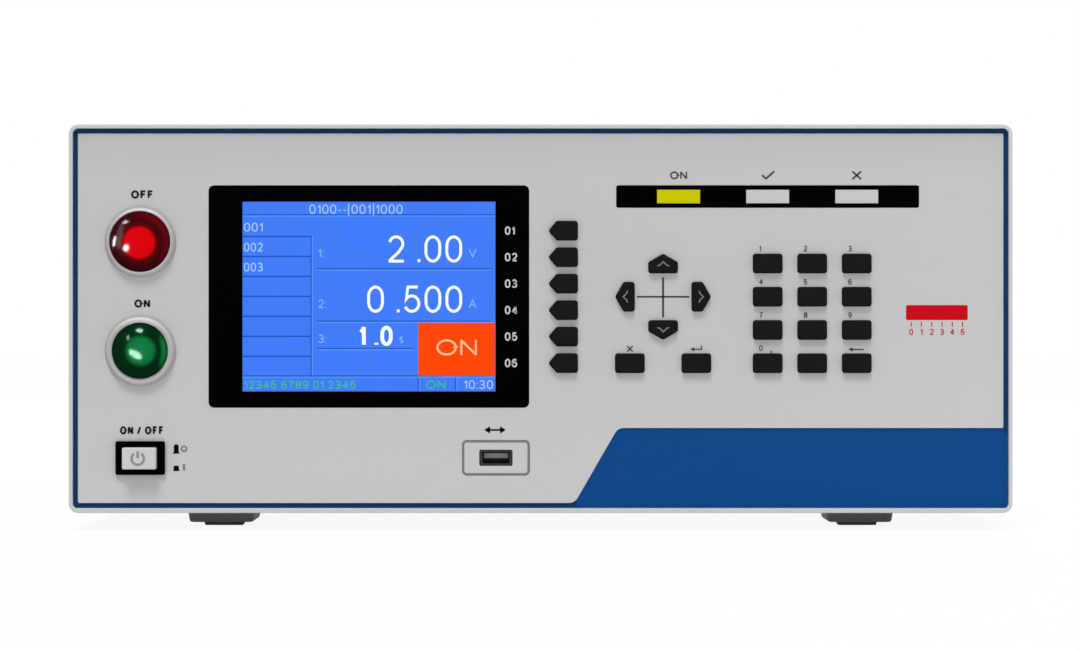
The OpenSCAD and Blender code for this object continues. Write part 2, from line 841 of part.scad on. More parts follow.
tray_bend_r = sheet_t + 0.8;
side_screw_z = tray_top + tray_side_h / 2;
first_screw_gap = 16;
last_screw_inset = 24;
side_screw_d = [skirt_d + first_screw_gap, (skirt_d + case_d) / 2, case_d - last_screw_inset];
screw_hole_r = 1.7;
lip_h = 14;

// The panel's screws, as X and height above the floor
rear_screw_inset = 9;
rear_screw_rise = 7;
rear_screw_drop = 6;
rear_screws = [for (x = [-1, 0, 1], z = [tray_top + rear_screw_rise, case_top - sheet_t - rear_screw_drop])
    [x * (tray_w / 2 - rear_screw_inset), z]];

module rear_screw_holes() {
    for (p = rear_screws) at(p.x, p.y) circle(r = screw_hole_r, $fn = 24);
}

module side_screw_holes() {
    for (d = side_screw_d) translate([-case_w, y_front + d, side_screw_z]) rotate([0, 90, 0])
        cylinder(h = 2 * case_w, r = screw_hole_r, $fn = 24);
}

// The transformer and the board share out the width inside the tray
core_foot_l = 8;
core_share = 0.115;
board_share = 0.36;
inside_w = tray_w - 2 * sheet_t;
free_w = inside_w - core_w - 2 * core_foot_l - board_w;
core_x = core_share * free_w + core_foot_l + core_w / 2 - inside_w / 2;
board_x = inside_w / 2 - board_share * free_w - board_w / 2;
board_d = 170;
standoff_inset = 8;
standoff_r = 3;
board_corners = [for (sx = [-1, 1], sy = [-1, 1])
    [board_x + sx * (board_w / 2 - standoff_inset),
     board_d + board_l / 2 + sy * (board_l / 2 - standoff_inset)]];

module chassis_tray() {
    color([0.66, 0.67, 0.68]) {
        difference() {
            translate([0, y_front + rear_in_d, case_bottom]) rotate([90, 0, 0])
                linear_extrude(rear_in_d - tray_d) polygon(folded(tray_w, tray_side_h, tray_bend_r, sheet_t));
            side_screw_holes();
        }
        rear_slab(rear_in_d - sheet_t, sheet_t) difference() {
            translate([0, tray_top + lip_h / 2 - 0.2])
                square([tray_w - 2 * tray_bend_r, lip_h], center = true);
            rear_screw_holes();
        }
        for (p = board_corners) translate([p.x, y_front + p.y, tray_top - 0.2])
            cylinder(h = standoff_h + 0.2, r = standoff_r, $fn = 24);
    }
}

module slot(w, h) {
    square([w, h - w], center = true);
    for (s = [-1, 1]) at(0, s * (h - w) / 2) circle(d = w, $fn = 24);
}

vent_centre_z = (case_bottom + case_top) / 2 + 6;

// One cut through both sides at once
module side_vents() {
    for (i = [0:vent_count - 1], row = [-1, 1])
        translate([-case_w, y_front + case_d - vent_rear_d - i * vent_pitch,
                   vent_centre_z + row * (vent_h + vent_row_gap) / 2])
            rotate([90, 0, 90]) linear_extrude(2 * case_w)
                slot(vent_w, vent_h);
}

// The frame's round lower corners take the place of the cover's lower front corners
module cover_notches() {
    notch_h = frame_r - lip_w + fit;
    mirrored() block(case_w / 2 - 2 * sheet_t, case_w / 2 + 1, cover_start_d - 1, skirt_d + 0.3,
                     case_bottom - 1, case_bottom + notch_h);
}

module top_cover() {
    color([0.72, 0.73, 0.74]) {
        difference() {
            translate([0, y_front + case_d, case_top]) rotate([90, 0, 0]) mirror([0, 1, 0])
                linear_extrude(case_d - cover_start_d)
                    polygon(folded(case_w, case_top - case_bottom, bend_r, sheet_t));
            side_screw_holes();
            side_vents();
            cover_notches();
        }
        rear_slab(rear_in_d - sheet_t, sheet_t) difference() {
            translate([0, case_top - sheet_t - lip_h / 2 + 0.2])
                square([tray_w - 2 * bend_r, lip_h], center = true);
            rear_screw_holes();
        }
    }
}

// Rear panel

fan_hole_r = fan_size / 2 - 2;
fan_screw = fan_size / 2 - 4.25;
inlet_w = 50;
inlet_h = 36;
inlet_body_w = 28;
inlet_body_h = 32;
inlet_screw_x = 20;
port_w = 19.4;
port_h = 11;
port_flange_w = 31;
port_flange_h = 13;
socket_body_r = 6;
socket_count = 3;

function socket_place(i) = inlet_x - socket_gap - (socket_count - 1 - i) * socket_pitch;

module fan_screw_places() {
    for (sx = [-1, 1], sz = [-1, 1]) at(fan_x + sx * fan_screw, fan_z + sz * fan_screw) children();
}

module rear_panel() {
    panel_z0 = tray_top + fit;
    panel_z1 = case_top - sheet_t - fit;
    color([0.72, 0.73, 0.74]) rear_slab(rear_in_d, rear_t) difference() {
        translate([-tray_w / 2, panel_z0]) square([tray_w, panel_z1 - panel_z0]);
        rear_screw_holes();
        at(fan_x, fan_z) circle(r = fan_hole_r, $fn = 96);
        fan_screw_places() circle(r = screw_hole_r, $fn = 24);
        at(inlet_x, inlet_z) square([inlet_body_w + 2 * fit, inlet_body_h + 2 * fit], center = true);
        for (s = [-1, 1]) at(inlet_x + s * inlet_screw_x, inlet_z) circle(r = screw_hole_r, $fn = 24);
        for (i = [0:socket_count - 1]) at(socket_place(i), socket_z)
            circle(r = socket_body_r + fit, $fn = 64);
        for (i = [0:1]) at(port_x + i * port_pitch, port_z)
            square([port_w + 2 * fit, port_h + 2 * fit], center = true);
    }
}

module fan_housing() {
    bore_r = fan_size / 2 - 2;
    mount_r = hub_r;
    mount_t = 4;
    strut_w = 5;
    color([0.07, 0.07, 0.075]) {
        rear_slab(rear_in_d - fan_t, fan_t) difference() {
            at(fan_x, fan_z) polygon(rounded(fan_size, fan_size, 4));
            at(fan_x, fan_z) circle(r = bore_r, $fn = 96);
            fan_screw_places() circle(r = screw_hole_r, $fn = 24);
        }
        rear_slab(rear_in_d - fan_t, mount_t) difference() {
            union() {
                at(fan_x, fan_z) circle(r = mount_r, $fn = 64);
                for (a = [45, 135]) at(fan_x, fan_z) rotate(a)
                    square([2 * bore_r + 1, strut_w], center = true);
            }
            at(fan_x, fan_z) circle(r = pin_r + running_gap, $fn = 48);
        }
    }
}

blade_gap = 1.2;
guard_eye_t = wire_d - 0.2;
blade_r = fan_size / 2 - 2 - blade_gap;

// A blade's curved section: X runs round the fan and Y along its axis
blade_section = let (
    chord = 22, camber = 3, thick = 1.2, n = 6,
    mid = [for (i = [0:n]) let (s = i / n - 0.5) [s * chord, camber * (1 - 4 * s * s)]])
    concat([for (p = mid) p], [for (i = [n:-1:0]) mid[i] + [0, -thick]]);
blade_pitch_angle = 34;

module fan_rotor() {
    rotor_d = rear_in_d - fan_t + 4 + move_gap;
    hub_h = fan_t - 4 - move_gap - 2;
    color([0.09, 0.09, 0.095]) rear_facing(fan_x, rotor_d, fan_z) {
        rotate_extrude($fn = 64) polygon(concat(
            [[0, -3], [pin_r, -3], [pin_r, 0], [hub_r - 1, 0], [hub_r, 1]],
            arc(hub_r - 2, hub_h - 2, 2, 0, 90, 3), [[0, hub_h]]));
        intersection() {
            for (i = [0:blade_count - 1]) rotate(i * 360 / blade_count)
                translate([hub_r - 1, 0, hub_h / 2]) rotate([90, 0, 90])
                    linear_extrude(blade_r) rotate(blade_pitch_angle) polygon(blade_section);
            cylinder(h = hub_h, r = blade_r, $fn = 96);
        }
    }
}

// Welded wire: rings on two crossed pairs of wires, with an eye at each screw
module fan_guard() {
    wire_r = wire_d / 2;
    wire_z = wire_r + 0.15;
    eye_r = 4.2;
    diagonal = fan_screw * sqrt(2);
    ring_step = (fan_hole_r + 1) / (guard_rings + 0.5);
    first_ring_r = ring_step / 2 - wire_r;
    color([0.75, 0.76, 0.77]) rear_facing(fan_x, rear_out_d, fan_z) {
        for (i = [0:guard_rings]) translate([0, 0, wire_z + wire_r * 1.6]) rotate_extrude($fn = 64)
            translate([first_ring_r + i * ring_step, 0]) circle(r = wire_r, $fn = 8);
        for (a = [45:90:315]) rotate(a) {
            translate([first_ring_r, 0, wire_z]) rotate([0, 90, 0])
                cylinder(h = diagonal - eye_r + 1 - first_ring_r, r = wire_r, $fn = 8);
            translate([diagonal, 0, 0]) difference() {
                cylinder(h = guard_eye_t, r = eye_r, $fn = 32);
                translate([0, 0, -1]) cylinder(h = wire_d + 2, r = screw_hole_r, $fn = 24);
            }
        }
    }
}

// Mains inlet with a fuse drawer below the pins

cavity_w = 24.4;
cavity_h = 16.4;
cavity_z = 6.2;
cavity_depth = 17;
inlet_flange_t = 3;
drawer_w = 22;
drawer_h = 8;
drawer_z = -9.4;
drawer_l = 20;

// The inlet's outline has its two upper corners cut off
function inlet_outline(w, h, cut) =
    [[-w / 2, -h / 2], [w / 2, -h / 2], [w / 2, h / 2 - cut], [w / 2 - cut, h / 2],
     [cut - w / 2, h / 2], [-w / 2, h / 2 - cut]];

module power_inlet() {
    inlet_depth = 26;
    corner_r = 3;
    corner_cut = 4;
    pin_w = 2;
    pin_h = 4;
    pin_l = 15;
    pin_x = 7;
    pin_z = 4;
    tab_z = 4;
    earth_tab_z = 6;
    color([0.06, 0.06, 0.065]) {
        difference() {
            union() {
                rear_slab(rear_out_d, inlet_flange_t) at(inlet_x, inlet_z) difference() {
                    polygon(rounded(inlet_w, inlet_h, corner_r));
                    for (s = [-1, 1]) at(s * inlet_screw_x, 0) circle(r = screw_hole_r, $fn = 24);
                }
                rear_slab(rear_out_d - inlet_depth, inlet_depth) at(inlet_x, inlet_z)
                    square([inlet_body_w, inlet_body_h], center = true);
            }
            rear_slab(rear_out_d + inlet_flange_t - cavity_depth, cavity_depth + 1)
                at(inlet_x, inlet_z + cavity_z) polygon(inlet_outline(cavity_w, cavity_h, corner_cut));
            rear_slab(rear_out_d + inlet_flange_t - drawer_l - 2, drawer_l + 3)
                at(inlet_x, inlet_z + drawer_z)
                    square([drawer_w + 2 * move_gap, drawer_h + 2 * move_gap], center = true);
        }
        for (p = [[-pin_x, 0], [pin_x, 0], [0, pin_z]])
            rear_slab(rear_out_d + inlet_flange_t - cavity_depth - 1, pin_l)
                at(inlet_x + p.x, inlet_z + cavity_z + p.y) square([pin_w, pin_h], center = true);
        for (p = [[-pin_x, -tab_z], [pin_x, -tab_z], [0, earth_tab_z]])
            rear_slab(rear_out_d - inlet_depth - tab_l, tab_l + 0.5) at(inlet_x + p.x, inlet_z + p.y)
                square([tab_w, tab_t], center = true);
    }
}

module fuse_drawer() {
    face_t = 2;
    face_lap_w = 1.5;
    face_lap_h = 0.4;
    fuse_d = 5.2;
    fuse_wall = 1.2;
    notch_w = 8;
    notch_d = 1.6;
    color([0.08, 0.08, 0.085]) difference() {
        union() {
            rear_slab(rear_out_d + inlet_flange_t - drawer_l, drawer_l + move_gap)
                at(inlet_x, inlet_z + drawer_z) square([drawer_w, drawer_h], center = true);
            rear_slab(rear_out_d + inlet_flange_t + move_gap, face_t)
                at(inlet_x, inlet_z + drawer_z)
                    polygon(rounded(drawer_w + 2 * face_lap_w, drawer_h + 2 * face_lap_h, 1));
        }
        translate([inlet_x - drawer_w / 2 + fuse_wall,
                   y_front + rear_out_d + inlet_flange_t - drawer_l / 2, inlet_z + drawer_z + drawer_h / 2])
            rotate([0, 90, 0]) cylinder(h = drawer_w - 2 * fuse_wall, d = fuse_d, $fn = 32);
        translate([inlet_x, y_front + rear_out_d + inlet_flange_t + move_gap + face_t,
                   inlet_z + drawer_z + drawer_h / 2 + face_lap_h])
            rotate([0, 90, 0]) cylinder(h = notch_w, d = notch_d, center = true, $fn = 24);
    }
}

// Test sockets and interface ports

// A shrouded safety socket: one profile holds the collar, the shroud, the contact and its bore
module safety_socket(i) {
    back_l = 20;
    contact_r = socket_bore_d / 2 + 1.1;
    contact_recess = 2;
    bore_end = -12;
    well_end = -6;
    shroud_r = contact_r + 2.2;
    shroud_wall = 2;
    edge = 0.5;
    collar_r = 11;
    collar_t = 3;
    outer_r = shroud_r + shroud_wall;
    rear_facing(socket_place(i), rear_out_d, socket_z) rotate_extrude($fn = 64) polygon([
        [0, -back_l], [socket_body_r, -back_l], [socket_body_r, 0], [collar_r, 0],
        [collar_r, collar_t - edge], [collar_r - edge, collar_t],
        [outer_r, collar_t], [outer_r, socket_rise - edge], [outer_r - edge, socket_rise],
        [shroud_r, socket_rise], [shroud_r, well_end], [contact_r, well_end],
        [contact_r, socket_rise - contact_recess], [socket_bore_d / 2, socket_rise - contact_recess],
        [socket_bore_d / 2, bore_end], [0, bore_end]]);
}

module rear_terminals() {
    nut_t = 3;
    nut_r = 9;
    color([0.6, 0.02, 0.03]) {
        for (i = [0:socket_count - 1]) {
            safety_socket(i);
            rear_facing(socket_place(i), rear_in_d - nut_t, socket_z) difference() {
                cylinder(h = nut_t, r = nut_r, $fn = 6);
                translate([0, 0, -1]) cylinder(h = nut_t + 2, r = socket_body_r - fit, $fn = 64);
            }
        }
    }
}

// A D-shaped port: a flange, a tapered shell and the block inside the case
function port_outline(w, h, slant, r) = softened(
    [[-w / 2, h / 2], [w / 2, h / 2], [w / 2 - slant, -h / 2], [slant - w / 2, -h / 2]], [r, r, r, r], 3);

module interface_ports() {
    flange_t = 1;
    flange_r = 1.2;
    shell_w = 17;
    shell_h = 8.4;
    shell_l = 5;
    shell_slant = 1.4;
    shell_r = 2;
    shell_t = 0.5;
    insert_recess = 0.8;
    block_l = 8;
    nut_reach = 12.5;
    nut_r = 2.6;
    nut_h = 4.5;
    nut_bore_r = 1.4;
    color([0.55, 0.56, 0.58]) for (i = [0:1]) {
        x = port_x + i * port_pitch;
        rear_slab(rear_out_d, flange_t) at(x, port_z)
            polygon(rounded(port_flange_w, port_flange_h, flange_r));
        difference() {
            rear_slab(rear_out_d + flange_t, shell_l) at(x, port_z)
                polygon(port_outline(shell_w, shell_h, shell_slant, shell_r));
            rear_slab(rear_out_d + flange_t + shell_l - insert_recess, insert_recess + 1) at(x, port_z)
                polygon(port_outline(shell_w - 2 * shell_t, shell_h - 2 * shell_t,
                                     shell_slant, shell_r - shell_t));
        }
        rear_slab(rear_in_d - block_l, block_l + rear_t) at(x, port_z)
            square([port_w, port_h], center = true);
        for (s = [-1, 1]) rear_facing(x + s * nut_reach, rear_out_d + flange_t, port_z) difference() {
            cylinder(h = nut_h, r = nut_r, $fn = 6);
            translate([0, 0, 1]) cylinder(h = nut_h, r = nut_bore_r, $fn = 24);
        }
    }
}

// Inside the case

core_d = 190;
limb_w = core_w / 3;
window_gap = core_w / 6;
core_window_h = core_h - 2 * window_gap;

module transformer_core() {
    foot_t = 1.5;
    foot_h = 12;
    color([0.3, 0.3, 0.31]) {
        rear_slab(core_d, core_t) translate([core_x, tray_top + core_h / 2]) difference() {
            square([core_w, core_h], center = true);
            for (s = [-1, 1]) at(s * (limb_w + window_gap) / 2, 0)
                square([window_gap, core_window_h], center = true);
        }
        for (s = [0, 1]) block(core_x - core_w / 2 - core_foot_l, core_x + core_w / 2 + core_foot_l,
            core_d + s * (core_t + foot_t) - foot_t, core_d + s * (core_t + foot_t),
            tray_top, tray_top + foot_h);
    }
}

module transformer_coil() {
    overhang = 13;
    coil_h = core_window_h - 2 * fit;
    color([0.55, 0.35, 0.12]) translate([core_x, y_front + core_d + core_t / 2,
                                         tray_top + (core_h - coil_h) / 2])
        linear_extrude(coil_h) difference() {
            polygon(rounded(limb_w + 2 * window_gap - 2 * fit, core_t + 2 * overhang, 8));
            square([limb_w + 2 * fit, core_t + 2 * fit], center = true);
        }
}

module heat_sink() {
    sink_w = 80;
    sink_l = 90;
    sink_gap = 26.5;
    sink_d = rear_in_d - fan_t - sink_gap - sink_l;
    base_t = 6;
    fin_t = 2;
    fin_pitch = (sink_w - fin_t) / (fin_count - 1);
    color([0.6, 0.61, 0.63]) rear_slab(sink_d, sink_l) translate([fan_x - sink_w / 2, tray_top]) {
        square([sink_w, base_t]);
        for (i = [0:fin_count - 1]) translate([i * fin_pitch, base_t - 0.5])
            square([fin_t, sink_h - base_t + 0.5]);
    }
}

board_t = 1.6;
board_top = tray_top + standoff_h + board_t;
board_x0 = board_x - board_w / 2;

// A row of like parts on the board, each w wide, l long and h high; x and d are from its corner
module board_row(count, pitch, x, w, d, l, h) {
    for (i = [0:count - 1]) block(board_x0 + x + i * pitch, board_x0 + x + i * pitch + w,
                                  board_d + d, board_d + d + l, board_top - 0.2, board_top + h);
}

module main_board() {
    capacitor_r = 12.5;
    capacitor_h = 36;
    capacitor_pitch = 34;
    capacitor_inset = 28;
    capacitor_d = 30;
    relay_w = 20;
    relay_pitch = 30;
    relay_d = 62;
    relay_l = 26;
    relay_h = 16;
    chip_w = 30;
    chip_pitch = 55;
    chip_d = 108;
    chip_h = 3;
    choke_w = 28;
    choke_l = 40;
    choke_h = 24;
    choke_inset = 20;
    color([0.05, 0.3, 0.15]) {
        block(board_x0, board_x0 + board_w, board_d, board_d + board_l, board_top - board_t, board_top);
        for (i = [0:3]) translate([board_x0 + capacitor_inset + i * capacitor_pitch,
                                   y_front + board_d + capacitor_d, board_top - 0.2])
            cylinder(h = capacitor_h, r = capacitor_r, $fn = 48);
        board_row(6, relay_pitch, relay_w, relay_w, relay_d, relay_l, relay_h);
        board_row(3, chip_pitch, chip_w, chip_w, chip_d, chip_w, chip_h);
        board_row(1, 0, board_w - choke_w - choke_inset, choke_w, choke_inset, choke_l, choke_h);
    }
}

// Feet

foot_top = case_bottom;
foot_bottom = pad_h;
foot_corner_r = 3;
foot_edge = 0.9;
pad_flare = 0.7;
pad_corner_r = 2;
pivot_z = (foot_top + foot_bottom) / 2 + 0.5;
leg_boss_r = 2.8;
ear_t = 3;
leg_w = foot_w - 2 * ear_t - 2 * move_gap - 4;
pivot_d = front_foot_d + foot_l + leg_boss_r + 1.2;

// A moulded block whose sides lean in, and whose upright corners and lower edge are round
module foot(d) {
    low_w = foot_w - 2 * foot_draft;
    low_l = foot_l - 2 * foot_draft;
    translate([foot_x, y_front + d + foot_l / 2, 0]) hull() {
        for (s = [[foot_edge, 0], [foot_edge * 0.35, foot_edge * 0.3], [0, foot_edge]])
            translate([0, 0, foot_bottom + s[1]]) linear_extrude(0.05)
                polygon(rounded(low_w - 2 * s[0], low_l - 2 * s[0], foot_corner_r - s[0] / 2));
        translate([0, 0, foot_top - 0.05]) linear_extrude(0.05)
            polygon(rounded(foot_w, foot_l, foot_corner_r));
    }
}

// The front feet carry the tilt legs between two ears
module ears() {
    ear_w = leg_w / 2 + move_gap;
    for (s = [-1, 1]) block(foot_x + s * (ear_w + ear_t / 2) - ear_t / 2,
                            foot_x + s * (ear_w + ear_t / 2) + ear_t / 2,
                            front_foot_d + foot_l - foot_draft - 0.5, pivot_d + leg_boss_r,
                            pivot_z - leg_boss_r, foot_top);
    translate([foot_x - ear_w - 0.5, y_front + pivot_d, pivot_z]) rotate([0, 90, 0])
        cylinder(h = 2 * ear_w + 1, r = pin_r, $fn = 48);
}

module feet() {
    color([0.2, 0.2, 0.2]) mirrored() {
        foot(front_foot_d);
        ears();
        foot(case_d - rear_foot_d - foot_l);
    }
}

// A side view of the pad, which is size long there, cut right across it
module pad_side(size) {
    top = size + 2 * pad_flare;
    rotate([90, 0, 0]) linear_extrude(2 * (pad_w + pad_l), center = true)
        polygon([[-size / 2, 0], [size / 2, 0], [top / 2, pad_h], [-top / 2, pad_h]]);
}

module foot_pads() {
    color([0.16, 0.16, 0.16]) mirrored() for (d = [front_foot_d, case_d - rear_foot_d - foot_l])
        translate([foot_x, y_front + d + foot_l / 2, 0]) intersection() {
            linear_extrude(pad_h)
                polygon(rounded(pad_w + 2 * pad_flare, pad_l + 2 * pad_flare, pad_corner_r));
            pad_side(pad_w);
            rotate(90) pad_side(pad_l);
        }
}

// The leg's side view: a boss round the pin and an arm with a rounded end
module tilt_leg() {
    color([0.2, 0.2, 0.2]) translate([foot_x - leg_w / 2, y_front + pivot_d, pivot_z])
        rotate([90, 0, 90]) linear_extrude(leg_w) difference() {
            union() {
                circle(r = leg_boss_r, $fn = 48);
                translate([0, -leg_t / 2]) square([leg_l - leg_t / 2, leg_t]);
                translate([leg_l - leg_t / 2, 0]) circle(r = leg_t / 2, $fn = 32);
            }
            circle(r = pin_r + running_gap, $fn = 48);
        }
}

module right_tilt_leg() {
    tilt_leg();
}

module left_tilt_leg() {
    mirror([1, 0, 0]) tilt_leg();
}

// Screws

// A domed head with a hexagon socket, sitting on z = 0 with its shank below
module screw() {
    head_r = 3.2;
    head_h = 1.8;
    shank_r = 1.5;
    shank_l = 3;
    rotate_extrude($fn = 32) polygon([
        [0, -shank_l], [shank_r, -shank_l], [shank_r, 0], [head_r, 0], [head_r, head_h * 0.4],
        [head_r * 0.75, head_h * 0.85], [head_r * 0.45, head_h], [1.3, head_h], [1.3, 0.6], [0, 0.6]]);
}

module screws() {
    color([0.78, 0.79, 0.8]) {
        for (p = rear_screws) rear_facing(p.x, rear_out_d, p.y) screw();
        fan_guard_top = rear_out_d + guard_eye_t;
        for (sx = [-1, 1], sz = [-1, 1])
            rear_facing(fan_x + sx * fan_screw, fan_guard_top, fan_z + sz * fan_screw) screw();
        for (s = [-1, 1]) rear_facing(inlet_x + s * inlet_screw_x, rear_out_d + inlet_flange_t, inlet_z)
            screw();
        mirrored() for (d = side_screw_d) translate([case_w / 2, y_front + d, side_screw_z])
            rotate([0, 90, 0]) screw();
    }
}

chassis_tray();
top_cover();
front_bezel();
front_panel();
panel_overlay();
rear_panel();
display_window();
lcd_module();
lcd_screen();
indicator_window();
test_light();
result_lights();
button_bezels();
power_bezel();
switch_bodies();
key_board();
usb_socket();
feet();
foot_pads();
fan_housing();
fan_guard();
power_inlet();
rear_terminals();
interface_ports();
transformer_core();
transformer_coil();
main_board();
heat_sink();
screws();
for (k = KEYS) key(k);
stop_button();
start_button();
power_button();
fan_rotor();
fuse_drawer();
left_tilt_leg();
right_tilt_leg();
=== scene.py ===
"""Looks of a benchtop electrical safety tester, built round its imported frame."""
import math

import bmesh
import bpy
from mathutils import Matrix, Quaternion, Vector


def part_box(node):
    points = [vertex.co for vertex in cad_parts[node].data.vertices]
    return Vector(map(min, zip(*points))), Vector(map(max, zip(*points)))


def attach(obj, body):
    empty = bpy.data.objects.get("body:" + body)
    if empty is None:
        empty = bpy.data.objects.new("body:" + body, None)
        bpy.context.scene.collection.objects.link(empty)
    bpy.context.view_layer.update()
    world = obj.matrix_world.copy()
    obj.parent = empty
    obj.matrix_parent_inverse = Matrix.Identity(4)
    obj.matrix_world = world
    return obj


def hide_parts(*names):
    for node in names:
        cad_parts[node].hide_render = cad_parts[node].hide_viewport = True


MM = 0.001
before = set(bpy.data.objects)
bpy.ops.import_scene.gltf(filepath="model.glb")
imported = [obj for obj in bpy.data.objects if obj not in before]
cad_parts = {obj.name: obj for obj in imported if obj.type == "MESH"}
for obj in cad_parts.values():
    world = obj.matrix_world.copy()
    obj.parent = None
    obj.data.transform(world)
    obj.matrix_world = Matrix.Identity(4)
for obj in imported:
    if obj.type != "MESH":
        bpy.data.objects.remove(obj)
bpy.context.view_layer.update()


# Places, all worked out from the frame's nodes

def low(node):
    return Vector(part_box(node)[0])


def high(node):
    return Vector(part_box(node)[1])


def centre(node):
    return (low(node) + high(node)) / 2


FRONT = centre("front_bezel")
FRONT.y = low("front_bezel").y
FILM_Y = low("panel_overlay").y
WINDOW_Y = low("display_window").y
SCREEN_Y = low("lcd_screen").y
REAR_Y = high("rear_panel").y


def on_front(x, z, y=FILM_Y):
    """A point on the front, in millimetres from the middle of the panel."""
    return Vector((FRONT.x + x * MM, y, FRONT.z + z * MM))


# Colours and materials

def srgb(r, g, b):
    """A colour as the eye reads it, 0 to 255, in the renderer's linear values."""
    def linear(c):
        c /= 255
        return c / 12.92 if c <= 0.04045 else ((c + 0.055) / 1.055) ** 2.4
    return (linear(r), linear(g), linear(b), 1.0)


def grey(level):
    return srgb(level, level, level)


def shaded(color, factor):
    return tuple(min(1.0, c * factor) for c in color[:3]) + (1.0,)


# Nearly all values of a noise lie between these two
CLOUD_LOW, CLOUD_HIGH = 0.3, 0.7
GRAIN_STRENGTH = 0.35


def mottled(color, share):
    """Stops for a noise, from a little darker than a colour to a little paler."""
    return [(CLOUD_LOW, shaded(color, 1 - share)), (CLOUD_HIGH, shaded(color, 1 + share))]


class Surface:
    """A material with its nodes at hand."""

    def __init__(self, name):
        self.material = bpy.data.materials.new(name)
        self.material.use_nodes = True
        self.nodes = self.material.node_tree.nodes
        self.links = self.material.node_tree.links
        self.shader = self.nodes["Principled BSDF"]
        self.place = self.nodes.new("ShaderNodeTexCoord").outputs["Object"]

    def set(self, **values):
        for key, value in values.items():
            self.shader.inputs[key.replace("_", " ")].default_value = value

    def noise(self, scale, detail=2.0, stretch=None):
        node = self.nodes.new("ShaderNodeTexNoise")
        node.inputs["Scale"].default_value = scale
        node.inputs["Detail"].default_value = detail
        vector = self.place
        if stretch:
            mapping = self.nodes.new("ShaderNodeMapping")
            mapping.inputs["Scale"].default_value = stretch
            self.links.new(vector, mapping.inputs["Vector"])
            vector = mapping.outputs["Vector"]
        self.links.new(vector, node.inputs["Vector"])
        return node.outputs["Fac"]

    def ramp(self, value, stops):
        node = self.nodes.new("ShaderNodeValToRGB")
        elements = node.color_ramp.elements
        while len(elements) < len(stops):
            elements.new(0.5)
        for element, (position, color) in zip(elements, stops):
            element.position = position
            element.color = color
        self.links.new(value, node.inputs["Fac"])
        return node.outputs["Color"]

    def spread(self, value, lowest, highest):
        """A noise's values, spread evenly from the lowest to the highest number."""
        node = self.nodes.new("ShaderNodeMapRange")
        node.inputs["From Min"].default_value = CLOUD_LOW
        node.inputs["From Max"].default_value = CLOUD_HIGH
        node.inputs["To Min"].default_value = lowest
        node.inputs["To Max"].default_value = highest
        self.links.new(value, node.inputs["Value"])
        return node.outputs["Result"]

    def math(self, operation, *values):
        """What an operation makes of one or two numbers, each given as a value or as a socket."""
        node = self.nodes.new("ShaderNodeMath")
        node.operation = operation
        for entry, value in zip(node.inputs, values):
            if isinstance(value, (int, float)):
                entry.default_value = value
            else:
                self.links.new(value, entry)
        return node.outputs["Value"]

    def axes(self):
        split = self.nodes.new("ShaderNodeSeparateXYZ")
        self.links.new(self.place, split.inputs["Vector"])
        return split.outputs["X"], split.outputs["Z"]

    def distance_from(self, middle):
        """How far a place is from an axis that runs along Y, in millimetres."""
        x, z = self.axes()
        dx, dz = self.math("SUBTRACT", x, middle.x), self.math("SUBTRACT", z, middle.z)
        squares = self.math("ADD", self.math("MULTIPLY", dx, dx), self.math("MULTIPLY", dz, dz))
        return self.math("DIVIDE", self.math("SQRT", squares), MM)

    def colour(self, value, stops):
        self.links.new(self.ramp(value, stops), self.shader.inputs["Base Color"])

    def mixed(self, share, first, second):
        """The first colour where the share is 0, the second where it is 1."""
        node = self.nodes.new("ShaderNodeMixRGB")
        for value, entry in ((share, "Fac"), (first, "Color1"), (second, "Color2")):
            self.links.new(value, node.inputs[entry])
        return node.outputs["Color"]

    def bump(self, height, distance):
        node = self.nodes.new("ShaderNodeBump")
        node.inputs["Strength"].default_value = GRAIN_STRENGTH
        node.inputs["Distance"].default_value = distance
        self.links.new(height, node.inputs["Height"])
        self.links.new(node.outputs["Normal"], self.shader.inputs["Normal"])


def surface_of(name, rough, color=None, gloss=0.5, metallic=0.0, mottle=0.04, mottle_scale=18.0,
               grain=2500.0, grain_depth=0.00002, rough_spread=0.06, stretch=None):
    """A painted, moulded or plated surface: mottled colour, uneven roughness and a fine grain. Without
    a colour, the caller gives it one."""
    s = Surface(name)
    s.set(Metallic=metallic, Specular_IOR_Level=gloss)
    cloud = s.noise(mottle_scale, 3.0, stretch)
    if color:
        s.colour(cloud, mottled(color, mottle))
    s.links.new(s.spread(cloud, rough - rough_spread, rough + rough_spread), s.shader.inputs["Roughness"])
    s.bump(s.noise(grain, stretch=stretch), grain_depth)
    return s


def finish_of(name, color, rough, **more):
    return surface_of(name, rough, color, **more).material


def ink_of(name, color, mottle=0.05, gloss=0.05):
    return finish_of(name, color, 0.6, gloss=gloss, mottle=mottle, mottle_scale=400.0)


# How much of a lit surface's colour it has by itself, and how uneven its light is
UNLIT_SHARE, GLOW_MOTTLE = 0.03, 0.02


def glowing(name, color):
    """A lit surface, which shows its colour whatever falls on it."""
    s = Surface(name)
    s.set(Roughness=0.35, Emission_Strength=1.0, Specular_IOR_Level=0.03,
          Base_Color=shaded(color, UNLIT_SHARE))
    glow = s.ramp(s.noise(60.0), mottled(color, GLOW_MOTTLE))
    s.links.new(glow, s.shader.inputs["Emission Color"])
    return s.material


FILM_SHADED_TOP, FILM_MIDDLE, FILM_LIT_FOOT = grey(192), grey(199), grey(203)
# Shares of the film's height, from its foot, with the colour there; the paler foot is painted light and the
# darker top is painted shade under the frame's lip
FILM_STOPS = [(0.1, FILM_LIT_FOOT), (0.5, FILM_MIDDLE), (0.88, FILM_MIDDLE), (1.0, FILM_SHADED_TOP)]
# The panel's blue, and the darker blue of the painted shade in its border beside the film
BLUE, SHADED_BORDER_BLUE = srgb(19, 74, 139), srgb(22, 62, 102)
BLACK, WHITE = (0, 0, 0, 1), (1, 1, 1, 1)


